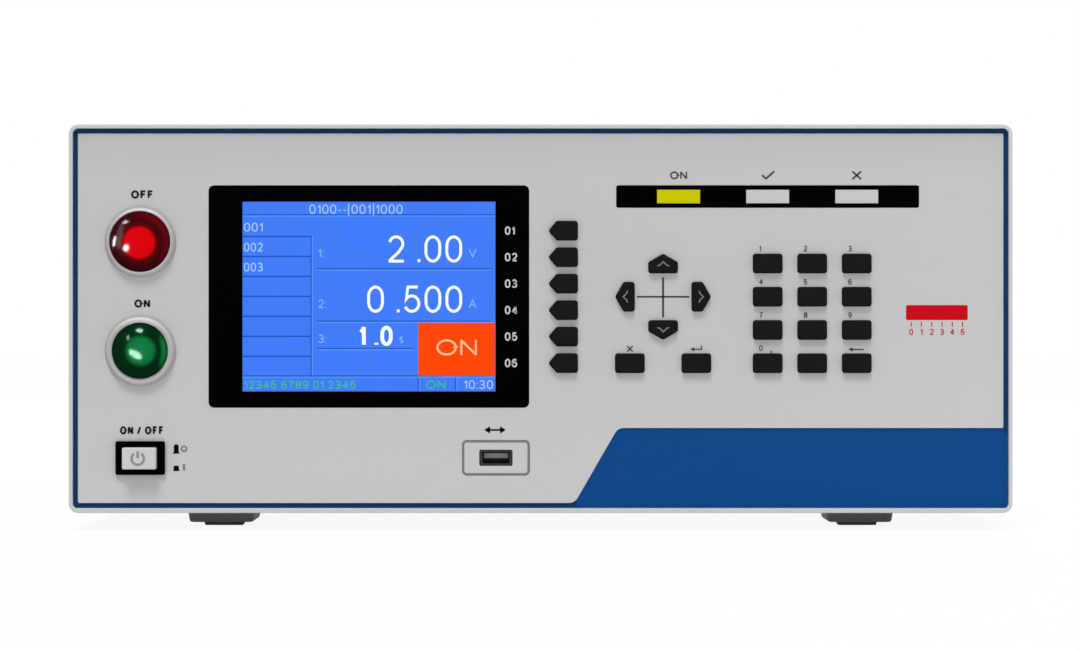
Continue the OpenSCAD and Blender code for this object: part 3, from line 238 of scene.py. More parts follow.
def film_finish():
    """A printed film, with painted shade towards its upper edge under the frame's lip and a little painted
    light towards its foot.
    """
    s = surface_of("grey_film", 0.6, gloss=0.05, grain=4200.0, grain_depth=0.000008, rough_spread=0.04)
    _, z = s.axes()
    foot, top = low("panel_overlay").z, high("panel_overlay").z
    height = s.math("DIVIDE", s.math("SUBTRACT", z, foot), top - foot)
    s.colour(height, FILM_STOPS)
    return s.material


# In millimetres: the blue band's upper left corner, how wide the border's painted shade fades out there, and
# how far under the film's edge it begins and how soon it is full
BAND_CORNER = (14.0, -49.5)
BAND_FADE = 3.0
BORDER_UNDER, BORDER_FULL = 0.5, 0.6


def panel_finish():
    """Blue paint, with painted shade where it borders the film, in the recess under the frame's lip; the
    band at the lower right stays plain.
    """
    s = surface_of("blue_paint", 0.5, gloss=0.02, grain=1500.0, grain_depth=0.00001)
    x, z = s.axes()
    lower, upper = low("panel_overlay"), high("panel_overlay")
    across = s.math("ABSOLUTE", s.math("SUBTRACT", x, (lower.x + upper.x) / 2))
    past_side = s.math("SUBTRACT", across, (upper.x - lower.x) / 2)
    past_end = s.math("SUBTRACT", s.math("ABSOLUTE", s.math("SUBTRACT", z, (lower.z + upper.z) / 2)),
                      (upper.z - lower.z) / 2)
    past = s.math("DIVIDE", s.math("MAXIMUM", past_side, past_end), MM)
    corner = on_front(*BAND_CORNER)
    in_band = s.math("MINIMUM", s.math("SUBTRACT", x, corner.x), s.math("SUBTRACT", corner.z, z))
    in_band = s.math("MINIMUM", s.math("DIVIDE", in_band, BAND_FADE * MM), 1.0)
    beside = s.math("SUBTRACT", 1.0, s.math("MAXIMUM", in_band, 0.0))
    darkening = s.math("MULTIPLY", s.math("ADD", past, BORDER_UNDER), beside)
    s.colour(darkening, [(0.0, BLUE), (BORDER_FULL, SHADED_BORDER_BLUE)])
    return s.material


# The ring's colours: painted light above the lens, and painted shade below it, at its sides and at its rim
RING_LIT_ABOVE, RING_SHADED_BELOW = srgb(222, 219, 219), srgb(196, 191, 191)
RING_SHADED_SIDE, RING_SHADED_RIM = srgb(190, 186, 186), srgb(168, 165, 165)
# A reach in millimetres from a button's axis, and the shares of it between which the ring's face turns
# into the painted shade of its rim
RING_REACH = 20.0
RIM_START, RIM_END = 0.742, 0.782
# Where the painted shade of the sides begins and is full, as a share of the way from upright to level, and
# where that of the lower part is full, as a share of the way from level to the foot
SIDE_START, SIDE_FULL = 0.3, 0.85
LOW_FULL = 0.5


def ring_finish():
    """A turned metal ring, with painted light above the lens and painted shade below it, at its sides and at
    its rim.
    """
    s = surface_of("button_ring", 0.35, gloss=0.02)
    middle, lower = centre("stop_button"), centre("start_button")
    near = s.math("MINIMUM", s.distance_from(middle), s.distance_from(lower))
    x, z = s.axes()
    aside = s.math("DIVIDE", s.math("ABSOLUTE", s.math("SUBTRACT", x, middle.x)), MM)
    side = s.ramp(s.math("DIVIDE", aside, near), [(SIDE_START, BLACK), (SIDE_FULL, WHITE)])
    on_upper = s.math("GREATER_THAN", z, (middle.z + lower.z) / 2)
    level = s.math("ADD", s.math("MULTIPLY", on_upper, middle.z - lower.z), lower.z)
    drop = s.math("DIVIDE", s.math("SUBTRACT", level, z), MM)
    below = s.ramp(s.math("DIVIDE", drop, near), [(0.0, BLACK), (LOW_FULL, WHITE)])
    place = s.math("DIVIDE", near, RING_REACH)
    above, under, beside = (s.ramp(place, [(RIM_START, color), (RIM_END, RING_SHADED_RIM)])
                            for color in (RING_LIT_ABOVE, RING_SHADED_BELOW, RING_SHADED_SIDE))
    s.links.new(s.mixed(side, s.mixed(below, above, under), beside), s.shader.inputs["Base Color"])
    return s.material


mat_film = film_finish()
mat_blue = panel_finish()
mat_ring = ring_finish()
mat_frame = finish_of("frame_paint", srgb(204, 207, 209), 0.45, gloss=0.05, mottle=0.012, grain=2600.0,
                      grain_depth=0.000008)
mat_case = finish_of("case_paint", srgb(198, 199, 199), 0.52, gloss=0.3, mottle=0.02, grain=1400.0,
                     grain_depth=0.00006)
mat_steel = finish_of("plated_steel", srgb(178, 180, 184), 0.32, metallic=1.0, mottle=0.06,
                      stretch=(1, 12, 1))
# The socket's shell: a dark steel, partly its own dark frame and partly painted shade for the inside of the
# socket
mat_dark_shaded_steel = finish_of("dark_shaded_steel", srgb(60, 60, 59), 0.4, gloss=0.1, metallic=0.5, mottle=0.08)
mat_black_gloss = finish_of("black_window", grey(2), 0.22, gloss=0.006, mottle=0.2, grain=900.0,
                            grain_depth=0.000002)
mat_key = finish_of("key_rubber", srgb(27, 27, 25), 0.62, gloss=0.015, mottle=0.08, mottle_scale=160.0,
                    grain=5200.0, grain_depth=0.00002)
mat_black = finish_of("black_plastic", srgb(26, 26, 27), 0.45, gloss=0.25, mottle=0.08, grain=2200.0,
                      grain_depth=0.00003)
mat_bezel_black = finish_of("bezel_black", grey(2), 0.4, gloss=0.001, mottle=0.1)
mat_cap = finish_of("cap_grey", grey(208), 0.5, gloss=0.15, mottle=0.012)
mat_foot = finish_of("foot_plastic", grey(124), 0.6, gloss=0.15, mottle=0.06, grain=1600.0,
                     grain_depth=0.00005)
mat_pad = finish_of("foot_rubber", grey(124), 0.75, gloss=0.1, mottle=0.08, grain=3200.0,
                    grain_depth=0.00004)
mat_board = finish_of("circuit_board", srgb(24, 96, 52), 0.4, mottle=0.12, mottle_scale=90.0)
mat_core = finish_of("core_steel", srgb(92, 92, 94), 0.5, metallic=0.8, stretch=(1, 60, 1))
mat_coil = finish_of("coil_wrap", srgb(176, 134, 60), 0.5, mottle=0.08, stretch=(1, 1, 30))
mat_fin = finish_of("fin_aluminium", srgb(170, 172, 176), 0.35, metallic=0.9, stretch=(1, 30, 1))
mat_red_plastic = finish_of("red_plastic", srgb(170, 18, 20), 0.35, mottle=0.05)
mat_brass = finish_of("contact_plating", srgb(206, 178, 110), 0.25, metallic=1.0)
mat_white_lens = finish_of("light_lens", grey(202), 0.4, gloss=0.05, mottle=0.012)
mat_tongue = finish_of("socket_tongue", srgb(174, 174, 172), 0.6, mottle=0.04)
mat_yellow = glowing("light_yellow", srgb(197, 194, 2))
mat_screen = glowing("screen_blue", srgb(64, 122, 246))
mat_line_dark = glowing("screen_line_dark", srgb(28, 86, 188))
mat_line_light = glowing("screen_line_light", srgb(86, 148, 252))
mat_screen_white = glowing("screen_white", srgb(246, 250, 255))
mat_screen_pale = glowing("screen_pale", srgb(160, 196, 255))
mat_screen_dim = glowing("screen_dim", srgb(124, 170, 255))
mat_screen_green = glowing("screen_green", srgb(60, 190, 120))
mat_screen_orange = glowing("screen_orange", srgb(254, 70, 2))
mat_screen_cream = glowing("screen_cream", srgb(255, 190, 140))
mat_ink = ink_of("ink_dark", srgb(36, 36, 38))
mat_ink_black = ink_of("ink_black", grey(8), gloss=0.02)
mat_ink_soft = ink_of("ink_soft", srgb(70, 70, 72))
mat_ink_grey = ink_of("ink_grey", srgb(124, 124, 123))
mat_ink_cap = ink_of("ink_cap", grey(146), mottle=0.03)
mat_ink_red = ink_of("ink_red", srgb(200, 10, 22), mottle=0.04)
mat_ink_white = ink_of("ink_white", grey(204), mottle=0.03)
mat_ink_pale = ink_of("ink_pale", srgb(122, 130, 144), mottle=0.03)

KEY_NODES = [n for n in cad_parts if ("key_" in n or n.endswith("_key")) and n != "key_board"]

CAD_MATERIALS = {
    mat_steel: ["chassis_tray", "lcd_module", "fan_guard", "interface_ports", "screws"],
    mat_dark_shaded_steel: ["usb_socket"],
    mat_case: ["top_cover", "rear_panel"],
    mat_frame: ["front_bezel"],
    mat_blue: ["front_panel"],
    mat_film: ["panel_overlay"],
    mat_black_gloss: ["display_window", "indicator_window"],
    mat_screen: ["lcd_screen"],
    mat_yellow: ["test_light"],
    mat_white_lens: ["result_lights"],
    mat_ring: ["button_bezels"],
    mat_bezel_black: ["power_bezel"],
    mat_black: ["switch_bodies", "fan_housing", "fan_rotor", "power_inlet", "fuse_drawer"],
    mat_board: ["key_board", "main_board"],
    mat_core: ["transformer_core"],
    mat_coil: ["transformer_coil"],
    mat_fin: ["heat_sink"],
    mat_red_plastic: ["rear_terminals"],
    mat_foot: ["feet", "left_tilt_leg", "right_tilt_leg"],
    mat_pad: ["foot_pads"],
    mat_cap: ["power_button"],
    mat_key: KEY_NODES,
}


def dress_frame():
    for material, names in CAD_MATERIALS.items():
        for name in names:
            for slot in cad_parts[name].material_slots:
                slot.material = material


# Piece making

def add_piece(name, mesh, material, body="case", slot=None, smooth=False):
    piece = bpy.data.objects.new(name, mesh)
    bpy.context.scene.collection.objects.link(piece)
    mesh.materials.clear()
    mesh.materials.append(material)
    for polygon in mesh.polygons:
        polygon.use_smooth = smooth
    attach(piece, body)
    return piece


def mesh_of(name, bm):
    mesh = bpy.data.meshes.new(name)
    bm.to_mesh(mesh)
    bm.free()
    return mesh


def revolved(name, profile, middle, material, steps=96, forwards=True, **more):
    """A round piece: profile holds (radius, distance out of the face) in millimetres."""
    bm = bmesh.new()
    way = -1 if forwards else 1
    rings = []
    for radius, out in profile:
        turns = [2 * math.pi * i / steps for i in range(steps if radius else 1)]
        rings.append([bm.verts.new(middle + Vector((radius * MM * math.cos(a), way * out * MM,
                                                    radius * MM * math.sin(a)))) for a in turns])
    for first, second in zip(rings, rings[1:]):
        for i in range(steps):
            j = (i + 1) % steps
            ring = [first[i % len(first)], first[j % len(first)],
                    second[j % len(second)], second[i % len(second)]]
            corners = list(dict.fromkeys(ring))
            if len(corners) > 2:
                bm.faces.new(corners)
    bmesh.ops.recalc_face_normals(bm, faces=bm.faces)
    return add_piece(name, mesh_of(name, bm), material, smooth=True, **more)


# The gap between letters, as a share of their height
LETTER_GAP = 0.16
# The least cosine of half a corner that a line still mitres in full
SHARPEST_MITRE = 0.3
# How deep a mark's solid goes, as a share of its thickness: its back stands inside its face
PRINT_DEPTH = 1.3
DISC_STEPS = 12
CORNER_STEPS = 6


class Print:
    """Printed or lit marks on one face, gathered into one thin piece; way is -1 in front, 1 behind."""

    def __init__(self, name, y, material, body="case", slot=None, thickness=0.06, way=-1):
        self.name, self.y, self.material = name, y, material
        self.body, self.slot, self.thickness = body, slot, thickness * MM
        self.way = way
        self.bm = bmesh.new()

    def shape(self, points):
        """A flat outline of (x, z) points in millimetres, as a thin solid."""
        face_y = self.y + self.way * self.thickness
        face = self.bm.faces.new([self.bm.verts.new(on_front(x, z, face_y)) for x, z in points])
        out = bmesh.ops.extrude_face_region(self.bm, geom=[face])
        moved = [v for v in out["geom"] if isinstance(v, bmesh.types.BMVert)]
        bmesh.ops.translate(self.bm, verts=moved, vec=(0, -self.way * self.thickness * PRINT_DEPTH, 0))

    def rectangle(self, x0, x1, z0, z1):
        self.shape([(x0, z0), (x1, z0), (x1, z1), (x0, z1)])

    def disc(self, x, z, radius):
        self.shape(arc(x, z, radius, radius, 0, 360, DISC_STEPS)[:-1])

    def line(self, points, width, closed=False):
        """A line of even width through the points, with mitred corners."""
        points = points[:-1] if closed and points[0] == points[-1] else points
        count = len(points)
        left, right = [], []
        for i, point in enumerate(points):
            p = Vector(point)
            before = Vector(points[i - 1]) if i or closed else None
            after = Vector(points[(i + 1) % count]) if i < count - 1 or closed else None
            a = (p - before).normalized() if before is not None else (after - p).normalized()
            b = (after - p).normalized() if after is not None else a
            way = (a + b).normalized()
            side = Vector((-way.y, way.x)) * (width / 2 / max(SHARPEST_MITRE, way.dot(a)))
            left.append(p + side)
            right.append(p - side)
        for i in range(count if closed else count - 1):
            j = (i + 1) % count
            self.shape([left[i], left[j], right[j], right[i]])

    def ring(self, x, z, radius, width, start=0, end=360, steps=32):
        turn = arc(x, z, radius, radius, start, end, steps)
        closed = end - start == 360
        self.line(turn[:-1] if closed else turn, width, closed)

    def text(self, words, x, z, height, stroke, align="CENTER", width=None):
        """Figures or plain words of a height in millimetres, standing on z, fitted to a width."""
        widths = [GLYPHS[c][0] * height for c in words]
        gap = LETTER_GAP * height
        natural = sum(widths) + gap * (len(words) - 1)
        stretch = width / natural if width else 1
        left = x - {"LEFT": 0, "CENTER": 0.5, "RIGHT": 1}[align] * natural * stretch
        for c, w in zip(words, widths):
            w *= stretch
            inset = min(stroke, w) / 2
            for line in GLYPHS[c][1]:
                self.line([(left + inset + u * (w - 2 * inset), z + stroke / 2 + v * (height - stroke))
                           for u, v in line], stroke, closed=len(line) > 2 and line[0] == line[-1])
            left += w + gap * stretch

    def done(self):
        bmesh.ops.remove_doubles(self.bm, verts=self.bm.verts, dist=1e-7)
        bmesh.ops.recalc_face_normals(self.bm, faces=self.bm.faces)
        return add_piece(self.name, mesh_of(self.name, self.bm), self.material, self.body, self.slot)


def arc(u, v, reach_u, reach_v, start, end, steps=12):
    """Points of a part of an oval, from one angle in degrees to another."""
    return [(u + reach_u * math.cos(math.radians(a)), v + reach_v * math.sin(math.radians(a)))
            for a in (start + (end - start) * i / steps for i in range(steps + 1))]


def looped(points):
    return points + points[:1]


TALL_OVAL = looped(arc(0.5, 0.62, 0.5, 0.38, 0, 180) + arc(0.5, 0.38, 0.5, 0.38, 180, 360))
SIX = [arc(0.54, 0.58, 0.54, 0.42, 42, 180) + arc(0.5, 0.31, 0.5, 0.31, 180, 540, 20)]
# Each letter: its width as a share of its height, and its strokes in a square of side 1
GLYPHS = {
    "0": (0.64, [TALL_OVAL]),
    "1": (0.36, [[(0.0, 0.72), (0.5, 0.82), (1.0, 1.02)], [(1.0, 1.04), (1.0, -0.04)]]),
    "2": (0.64, [arc(0.5, 0.71, 0.48, 0.29, 165, -25) + [(0.66, 0.36), (0.2, 0.12), (0.0, 0.0)],
                 [(-0.04, 0.0), (1.04, 0.0)]]),
    "3": (0.64, [arc(0.48, 0.75, 0.43, 0.25, 155, -90), [(0.3, 0.51), (0.5, 0.51)],
                 arc(0.47, 0.26, 0.53, 0.26, 85, -155)]),
    "4": (0.68, [[(0.74, -0.04), (0.74, 1.0)], [(0.74, 1.0), (0.0, 0.28)], [(0.0, 0.28), (1.04, 0.28)]]),
    "5": (0.64, [[(0.93, 1.0), (0.2, 1.0), (0.08, 0.5)] + arc(0.48, 0.32, 0.52, 0.32, 125, -155)]),
    "6": (0.64, SIX),
    "7": (0.62, [[(-0.02, 1.0), (1.0, 1.0), (0.6, 0.5), (0.36, -0.04)]]),
    "8": (0.64, [looped(arc(0.5, 0.76, 0.42, 0.24, 0, 360, 20)),
                 looped(arc(0.5, 0.26, 0.5, 0.26, 0, 360, 20))]),
    "9": (0.64, [[(1 - u, 1 - v) for u, v in SIX[0]]]),
    "O": (0.96, [looped(arc(0.5, 0.5, 0.5, 0.5, 0, 360, 32))]),
    "N": (0.78, [[(0.0, -0.04), (0.0, 1.04)], [(0.0, 1.0), (1.0, 0.0)], [(1.0, -0.04), (1.0, 1.04)]]),
    "F": (0.7, [[(0.0, -0.04), (0.0, 1.0), (1.04, 1.0)], [(0.0, 0.52), (0.88, 0.52)]]),
    "A": (0.92, [[(0.0, -0.04), (0.5, 1.0), (1.0, -0.04)], [(0.2, 0.32), (0.8, 0.32)]]),
    "V": (0.92, [[(0.0, 1.04), (0.5, 0.0), (1.0, 1.04)]]),
    "s": (0.5, [arc(0.5, 0.53, 0.45, 0.18, 30, 270) + arc(0.5, 0.17, 0.47, 0.18, 90, -150)]),
    "/": (0.62, [[(0.0, -0.04), (1.0, 1.04)]]),
    "-": (0.36, [[(0.0, 0.36), (1.0, 0.36)]]),
    "[": (0.2, [[(1.0, 1.1), (0.0, 1.1), (0.0, -0.2), (1.0, -0.2)]]),
    "]": (0.2, [[(0.0, 1.1), (1.0, 1.1), (1.0, -0.2), (0.0, -0.2)]]),
    ".": (0.1, [[(0.0, -0.04), (0.0, 0.08)]]),
    ":": (0.1, [[(0.0, -0.04), (0.0, 0.08)], [(0.0, 0.6), (0.0, 0.72)]]),
    " ": (0.18, []),
}


def rounded_points(x, z, w, h, r):
    """The outline of a rectangle with round corners."""
    corners = [(x + w / 2 - r, z + h / 2 - r, 0), (x - w / 2 + r, z + h / 2 - r, 90),
               (x - w / 2 + r, z - h / 2 + r, 180), (x + w / 2 - r, z - h / 2 + r, 270)]
    return [point for cx, cz, start in corners
            for point in arc(cx, cz, r, r, start, start + 90, CORNER_STEPS)]


def place_of(node):
    """A node's middle on the front, in millimetres from the panel's middle."""
    c = centre(node)
    return (c.x - FRONT.x) / MM, (c.z - FRONT.z) / MM


def size_of(node):
    s = high(node) - low(node)
    return s.x / MM, s.z / MM


# Camera, light and floor

CAMERA_DISTANCE = 1.25
SENSOR_MM = 36
# In millimetres: how much of the front's plane the frame shows from side to side, and how far the
# camera stands beside and below the front's middle
PHOTO_WIDTH_MM = 491.7
CAMERA_X = -0.3
CAMERA_DROP = 2.87


def camera_place():
    return Vector((FRONT.x + CAMERA_X * MM, FRONT.y - CAMERA_DISTANCE, FRONT.z - CAMERA_DROP * MM))


def make_camera():
    data = bpy.data.cameras.new("camera")
    data.sensor_width = SENSOR_MM
    data.lens = SENSOR_MM * CAMERA_DISTANCE / (PHOTO_WIDTH_MM * MM)
    data.clip_start, data.clip_end = 0.05, 20
    camera = bpy.data.objects.new("camera", data)
    camera.location = camera_place()
    camera.rotation_euler = (math.pi / 2, 0, 0)
    bpy.context.scene.collection.objects.link(camera)
    bpy.context.scene.camera = camera


def aim(lamp, location, target, turn=0.0):
    lamp.location = location
    facing = (Vector(target) - Vector(location)).to_track_quat("-Z", "Y")
    lamp.rotation_euler = (facing @ Quaternion((0, 0, 1), turn)).to_euler()
    lamp.visible_camera = False
    bpy.context.scene.collection.objects.link(lamp)


def area_light(name, location, target, size, radiance, turn=0.0):
    """A lamp that is as bright as asked, where 1 is white."""
    data = bpy.data.lights.new(name, "AREA")
    data.shape = "RECTANGLE"
    data.size, data.size_y = size
    data.energy = radiance * math.pi * size[0] * size[1]
    lamp = bpy.data.objects.new(name, data)
    aim(lamp, location, target, turn)
    return lamp


def sun_light(name, location, target, spread, strength):
    data = bpy.data.lights.new(name, "SUN")
    data.angle = math.radians(spread)
    data.energy = strength
    lamp = bpy.data.objects.new(name, data)
    aim(lamp, location, target)
    return lamp


def background_rays(nodes, links):
    """1 for the rays that see the background itself or mirror it."""
    rays = nodes.new("ShaderNodeLightPath")
    either = nodes.new("ShaderNodeMath")
    either.operation = "MAXIMUM"
    links.new(rays.outputs["Is Camera Ray"], either.inputs[0])
    links.new(rays.outputs["Is Glossy Ray"], either.inputs[1])
    return either.outputs["Value"]


def mix_shaders(nodes, links, share, first, second, end):
    """Links the first shader to an output where the share is 0, and the second where it is 1."""
    mix = nodes.new("ShaderNodeMixShader")
    for value, entry in zip((share, first, second), mix.inputs):
        links.new(value, entry)
    links.new(mix.outputs["Shader"], nodes[end].inputs["Surface"])


def make_world(strength):
    world = bpy.data.worlds.new("studio")
    bpy.context.scene.world = world
    world.use_nodes = True
    nodes, links = world.node_tree.nodes, world.node_tree.links
    light = nodes["Background"]
    light.inputs["Color"].default_value = WHITE
    light.inputs["Strength"].default_value = strength
    seen = nodes.new("ShaderNodeBackground")
    seen.inputs["Color"].default_value = WHITE
    seen.inputs["Strength"].default_value = 1.0
    share = background_rays(nodes, links)
    mix_shaders(nodes, links, share, light.outputs["Background"], seen.outputs["Background"], "World Output")


FLOOR_HALF = 6.0
# The share of plain white in the floor as the camera sees it; the rest takes the object's shadow
FLOOR_WHITE = 0.91


def make_floor():
    mesh = bpy.data.meshes.new("floor")
    corners = [(FLOOR_HALF * x, FLOOR_HALF * y, 0) for x, y in ((-1, -1), (1, -1), (1, 1), (-1, 1))]
    mesh.from_pydata(corners, [], [(0, 1, 2, 3)])
    floor = bpy.data.objects.new("floor", mesh)
    bpy.context.scene.collection.objects.link(floor)
    material = bpy.data.materials.new("floor")
    material.use_nodes = True
    nodes, links = material.node_tree.nodes, material.node_tree.links
    shader = nodes["Principled BSDF"]
    shader.inputs["Base Color"].default_value = grey(244)
    shader.inputs["Roughness"].default_value = 0.9
    shader.inputs["Specular IOR Level"].default_value = 0.0
    white = nodes.new("ShaderNodeEmission")
    white.inputs["Strength"].default_value = 1.0
    share = nodes.new("ShaderNodeMath")
    share.operation = "MULTIPLY"
    share.inputs[1].default_value = FLOOR_WHITE
    links.new(background_rays(nodes, links), share.inputs[0])
    mix_shaders(nodes, links, share.outputs["Value"], shader.outputs["BSDF"], white.outputs["Emission"],
                "Material Output")
    mesh.materials.append(material)


# How far the lamps that a lens mirrors stand from it, in millimetres
GLINT_DISTANCE = 150
GREEN_GLINT, GREY_GLINT = (0.62, 1.0, 0.76), (0.86, 0.8, 1.0)
# Name, lens, then in millimetres on that lens the glint's place and size, its turn, brightness, colour
GLINTS = (("left_glint", "stop_button", (-11.7, 0.0), (1.2, 4.4), -14, 430, (1, 1, 1)),
          ("upper_left_glint", "stop_button", (-6.5, 9.0), (2.7, 1.3), 25, 230, (1, 1, 1)),
          ("disc_glint", "stop_button", (-6.0, -3.1), (2.6, 3.0), -30, 430, (1, 0.92, 0.95)),
          ("left_sheen", "stop_button", (-9.2, 2.6), (3.0, 12.0), 0, 22, GREY_GLINT),
          ("top_glint", "start_button", (0.3, 9.4), (3.2, 1.6), 0, 330, GREEN_GLINT),
          ("small_glint", "start_button", (-5.0, 6.1), (1.4, 2.2), 0, 150, GREEN_GLINT),
          ("long_glint", "start_button", (-1.5, -1.6), (7.0, 3.2), -28, 270, GREEN_GLINT))


def make_glint(name, lens, spot, size, turn, radiance, color):
    """A lamp where one spot of a round lens mirrors it to the camera; it lights that lens alone."""
    node = lens.name.removesuffix("_dome")
    middle = centre(node)
    middle.y = low(node).y
    bend = bend_of(size_of(node)[0] / 2, DOME_H[node])
    view = (camera_place() - middle).normalized()
    across, up = spot[0] / bend, spot[1] / bend
    out = math.sqrt(1 - across * across - up * up)
    normal = Vector((across, -out, up))
    way = 2 * normal.dot(view) * normal - view
    grown = (bend + 2 * GLINT_DISTANCE) / bend * MM
    place = middle + Vector((spot[0], 0, spot[1])) * MM
    lamp = area_light(name, place + way * GLINT_DISTANCE * MM, place, (size[0] * grown, size[1] * grown),
                      radiance, math.radians(turn))
    lamp.data.shape = "ELLIPSE"
    lamp.data.color = color
    lamp.visible_diffuse = False
    group = bpy.data.collections.new(name)
    group.objects.link(lens)
    lamp.light_linking.receiver_collection = group


def make_glints(lenses):
    for name, node, *rest in GLINTS:
        make_glint(name, lenses[node], *rest)


def make_lights():
    y = FRONT.y
    make_world(strength=0.4)
    top_light = sun_light("top_light", (-0.09, y - 0.42, 1.0), (0, y, 0.1), spread=20, strength=1.95)
    top_light.visible_glossy = False
    area_light("right_light", (1.1, y - 0.2, 0.3), (0.1, y, 0.1), size=(0.5, 0.8), radiance=1.6)
    area_light("back_light", (0.5, 1.6, 1.4), (0, 0, 0.1), size=(1.2, 0.8), radiance=3.6)


# Printed marks on the front

# In millimetres: the height and stroke of a label, how far to the right of its button's middle its own
# middle is, and how far above it stands
LABEL_H, LABEL_STROKE = 3.8, 0.95
BUTTON_LABEL_X, BUTTON_LABEL_RISE = 0.8, 19.6
POWER_LABEL_X, POWER_LABEL_RISE, POWER_LABEL_W = 0.6, 10.7, 20.0
# To the right of the power button's middle
POWER_MARK_X, POWER_SIGN_X = 16.3, 19.85
# Half widths and heights over the power button's middle, of the cap standing out and pushed in
CAP_OUT = [(1.6, 2.0), (1.1, 3.0), (1.1, 5.6), (0.6, 6.2)]
CAP_IN = [(1.5, -5.9), (1.2, -5.0), (1.2, -3.9), (0.8, -3.5)]
PORT_MARK_X, PORT_MARK_RISE = -0.4, 12.7
LIGHT_MARK_RISE, LIGHT_MARK_W = 2.8, 0.8
DIGIT_H, DIGIT_STROKE = 2.6, 0.45
DIGIT_X, DIGIT_RISE = -3.9, 0.5
# How far the arrow back, the cross and the hooked arrow lie above their keys' middles
BACK_RISE, CROSS_RISE, HOOK_RISE = 6.3, 6.6, 6.4
HAIR_W = 0.6
# How far the upright and the level line between the arrow keys stay off the keys' middles
UPRIGHT_TOP_GAP, UPRIGHT_FOOT_GAP, LEVEL_GAP = 6.2, 5.7, 5.4


def film_ink(name, material):
    return Print(name, FILM_Y, material, slot="black_plastic")


def print_film():
    ink = film_ink("film_print", mat_ink)
    for node, words in (("stop_button", "OFF"), ("start_button", "ON")):
        x, z = place_of(node)
        ink.text(words, x + BUTTON_LABEL_X, z + BUTTON_LABEL_RISE, LABEL_H, LABEL_STROKE)
    power_x, power_z = place_of("power_bezel")
    ink.text("ON / OFF", power_x + POWER_LABEL_X, power_z + POWER_LABEL_RISE, LABEL_H, LABEL_STROKE,
             width=POWER_LABEL_W)
    ink.done()
    print_power_marks(power_x, power_z)
    print_port_mark()
    soft = film_ink("film_fine_print", mat_ink_soft)
    print_indicator_marks(soft)
    print_digits(soft)
    print_plain_key_marks(soft)
    print_arrow_lines(soft)
    soft.done()


def arrow_head(ink, tip_x, foot_x, z, half_h):
    ink.shape([(tip_x, z), (foot_x, z - half_h), (foot_x, z + half_h)])


def cross(ink, x, z, half_w, half_h, width):
    for way in (-1, 1):
        ink.line([(x - half_w, z - half_h * way), (x + half_w, z + half_h * way)], width)


def print_power_marks(x, z):
    """The cap standing out, beside a nought, and the cap pushed in, beside a one."""
    mark_x, sign_x = x + POWER_MARK_X, x + POWER_SIGN_X
    ink = film_ink("power_cap_marks", mat_ink_black)
    for half in (CAP_OUT, CAP_IN):
        ink.shape([(mark_x + dx, z + dz) for dx, dz in half]
                  + [(mark_x - dx, z + dz) for dx, dz in reversed(half)])
    ink.done()
    signs = film_ink("power_signs", mat_ink_grey)
    signs.ring(sign_x, z + 4.2, radius=1.14, width=0.75, steps=24)
    signs.rectangle(sign_x - 0.55, sign_x + 0.55, z - 5.6, z - 2.8)
    signs.done()


def print_port_mark():
    """A plain arrow that points both ways, above the socket."""
    ink = film_ink("port_mark", mat_ink_black)
    x, z = place_of("usb_socket")
    x, z = x + PORT_MARK_X, z + PORT_MARK_RISE
    shaft, tip, foot, half_h = 3.0, 4.9, 2.3, 1.7
    ink.line([(x - shaft, z), (x + shaft, z)], 0.8)
    for way in (-1, 1):
        arrow_head(ink, x + way * tip, x + way * foot, z, way * half_h)
    ink.done()


def print_indicator_marks(ink):
    """ON above the lit lamp, and a tick and a cross above the two others."""
    middle_x, strip_z = place_of("indicator_window")
    lit_x, _ = place_of("test_light")
    base = strip_z + size_of("indicator_window")[1] / 2 + LIGHT_MARK_RISE
    ink.text("ON", lit_x, base, height=3.6, stroke=0.7, width=7.8)
    tick = [(middle_x - 2.6, base + 1.9), (middle_x - 0.7, base + 0.3), (middle_x + 3.0, base + 3.7)]
    ink.line(tick, LIGHT_MARK_W)
    cross(ink, 2 * middle_x - lit_x, base + 1.8, 2.0, 1.8, LIGHT_MARK_W)


def print_digits(ink):
    """A digit above each number key, and a plain point beside the nought."""
    for digit in list(range(1, 10)) + [0]:
        node = f"number_key_{digit}"
        x, z = place_of(node)
        foot = z + size_of(node)[1] / 2 + DIGIT_RISE
        ink.text(f"{digit}", x + DIGIT_X, foot, DIGIT_H, DIGIT_STROKE, align="LEFT")
    x, z = place_of("number_key_0")
    ink.rectangle(x + 1.2, x + 2.0, z + 4.8, z + 5.6)


def print_plain_key_marks(ink):
    """An arrow back, a cross and a hooked arrow, each above its key."""
    x, z = place_of("backspace_key")
    z += BACK_RISE
    ink.line([(x - 2.2, z), (x + 3.2, z)], HAIR_W)
    arrow_head(ink, x - 3.8, x - 1.9, z, 1.0)
    x, z = place_of("exit_key")
    cross(ink, x, z + CROSS_RISE, 1.3, 1.3, HAIR_W)
    x, z = place_of("enter_key")
    z += HOOK_RISE
    ink.line([(x + 2.4, z + 1.6), (x + 2.4, z), (x - 1.2, z)], HAIR_W)
    arrow_head(ink, x - 2.8, x - 0.9, z, 1.0)


def print_arrow_lines(ink):
    """The upright and the level line between the arrow keys."""
    up_x, up_z = place_of("arrow_key_up")
    _, down_z = place_of("arrow_key_down")
    left_x, left_z = place_of("arrow_key_left")
    right_x, _ = place_of("arrow_key_right")
    ink.line([(up_x, up_z - UPRIGHT_TOP_GAP), (up_x, down_z + UPRIGHT_FOOT_GAP)], 0.95)
    ink.line([(left_x + LEVEL_GAP, left_z), (right_x - LEVEL_GAP, left_z)], 0.8)


def print_usb_outline():
    ink = film_ink("usb_outline", mat_ink_grey)
    x, z = place_of("usb_socket")
    ink.line(rounded_points(x, z, w=29.9, h=15.1, r=1.7), 1.15, closed=True)
    ink.done()


SCALE_MARKS = 6


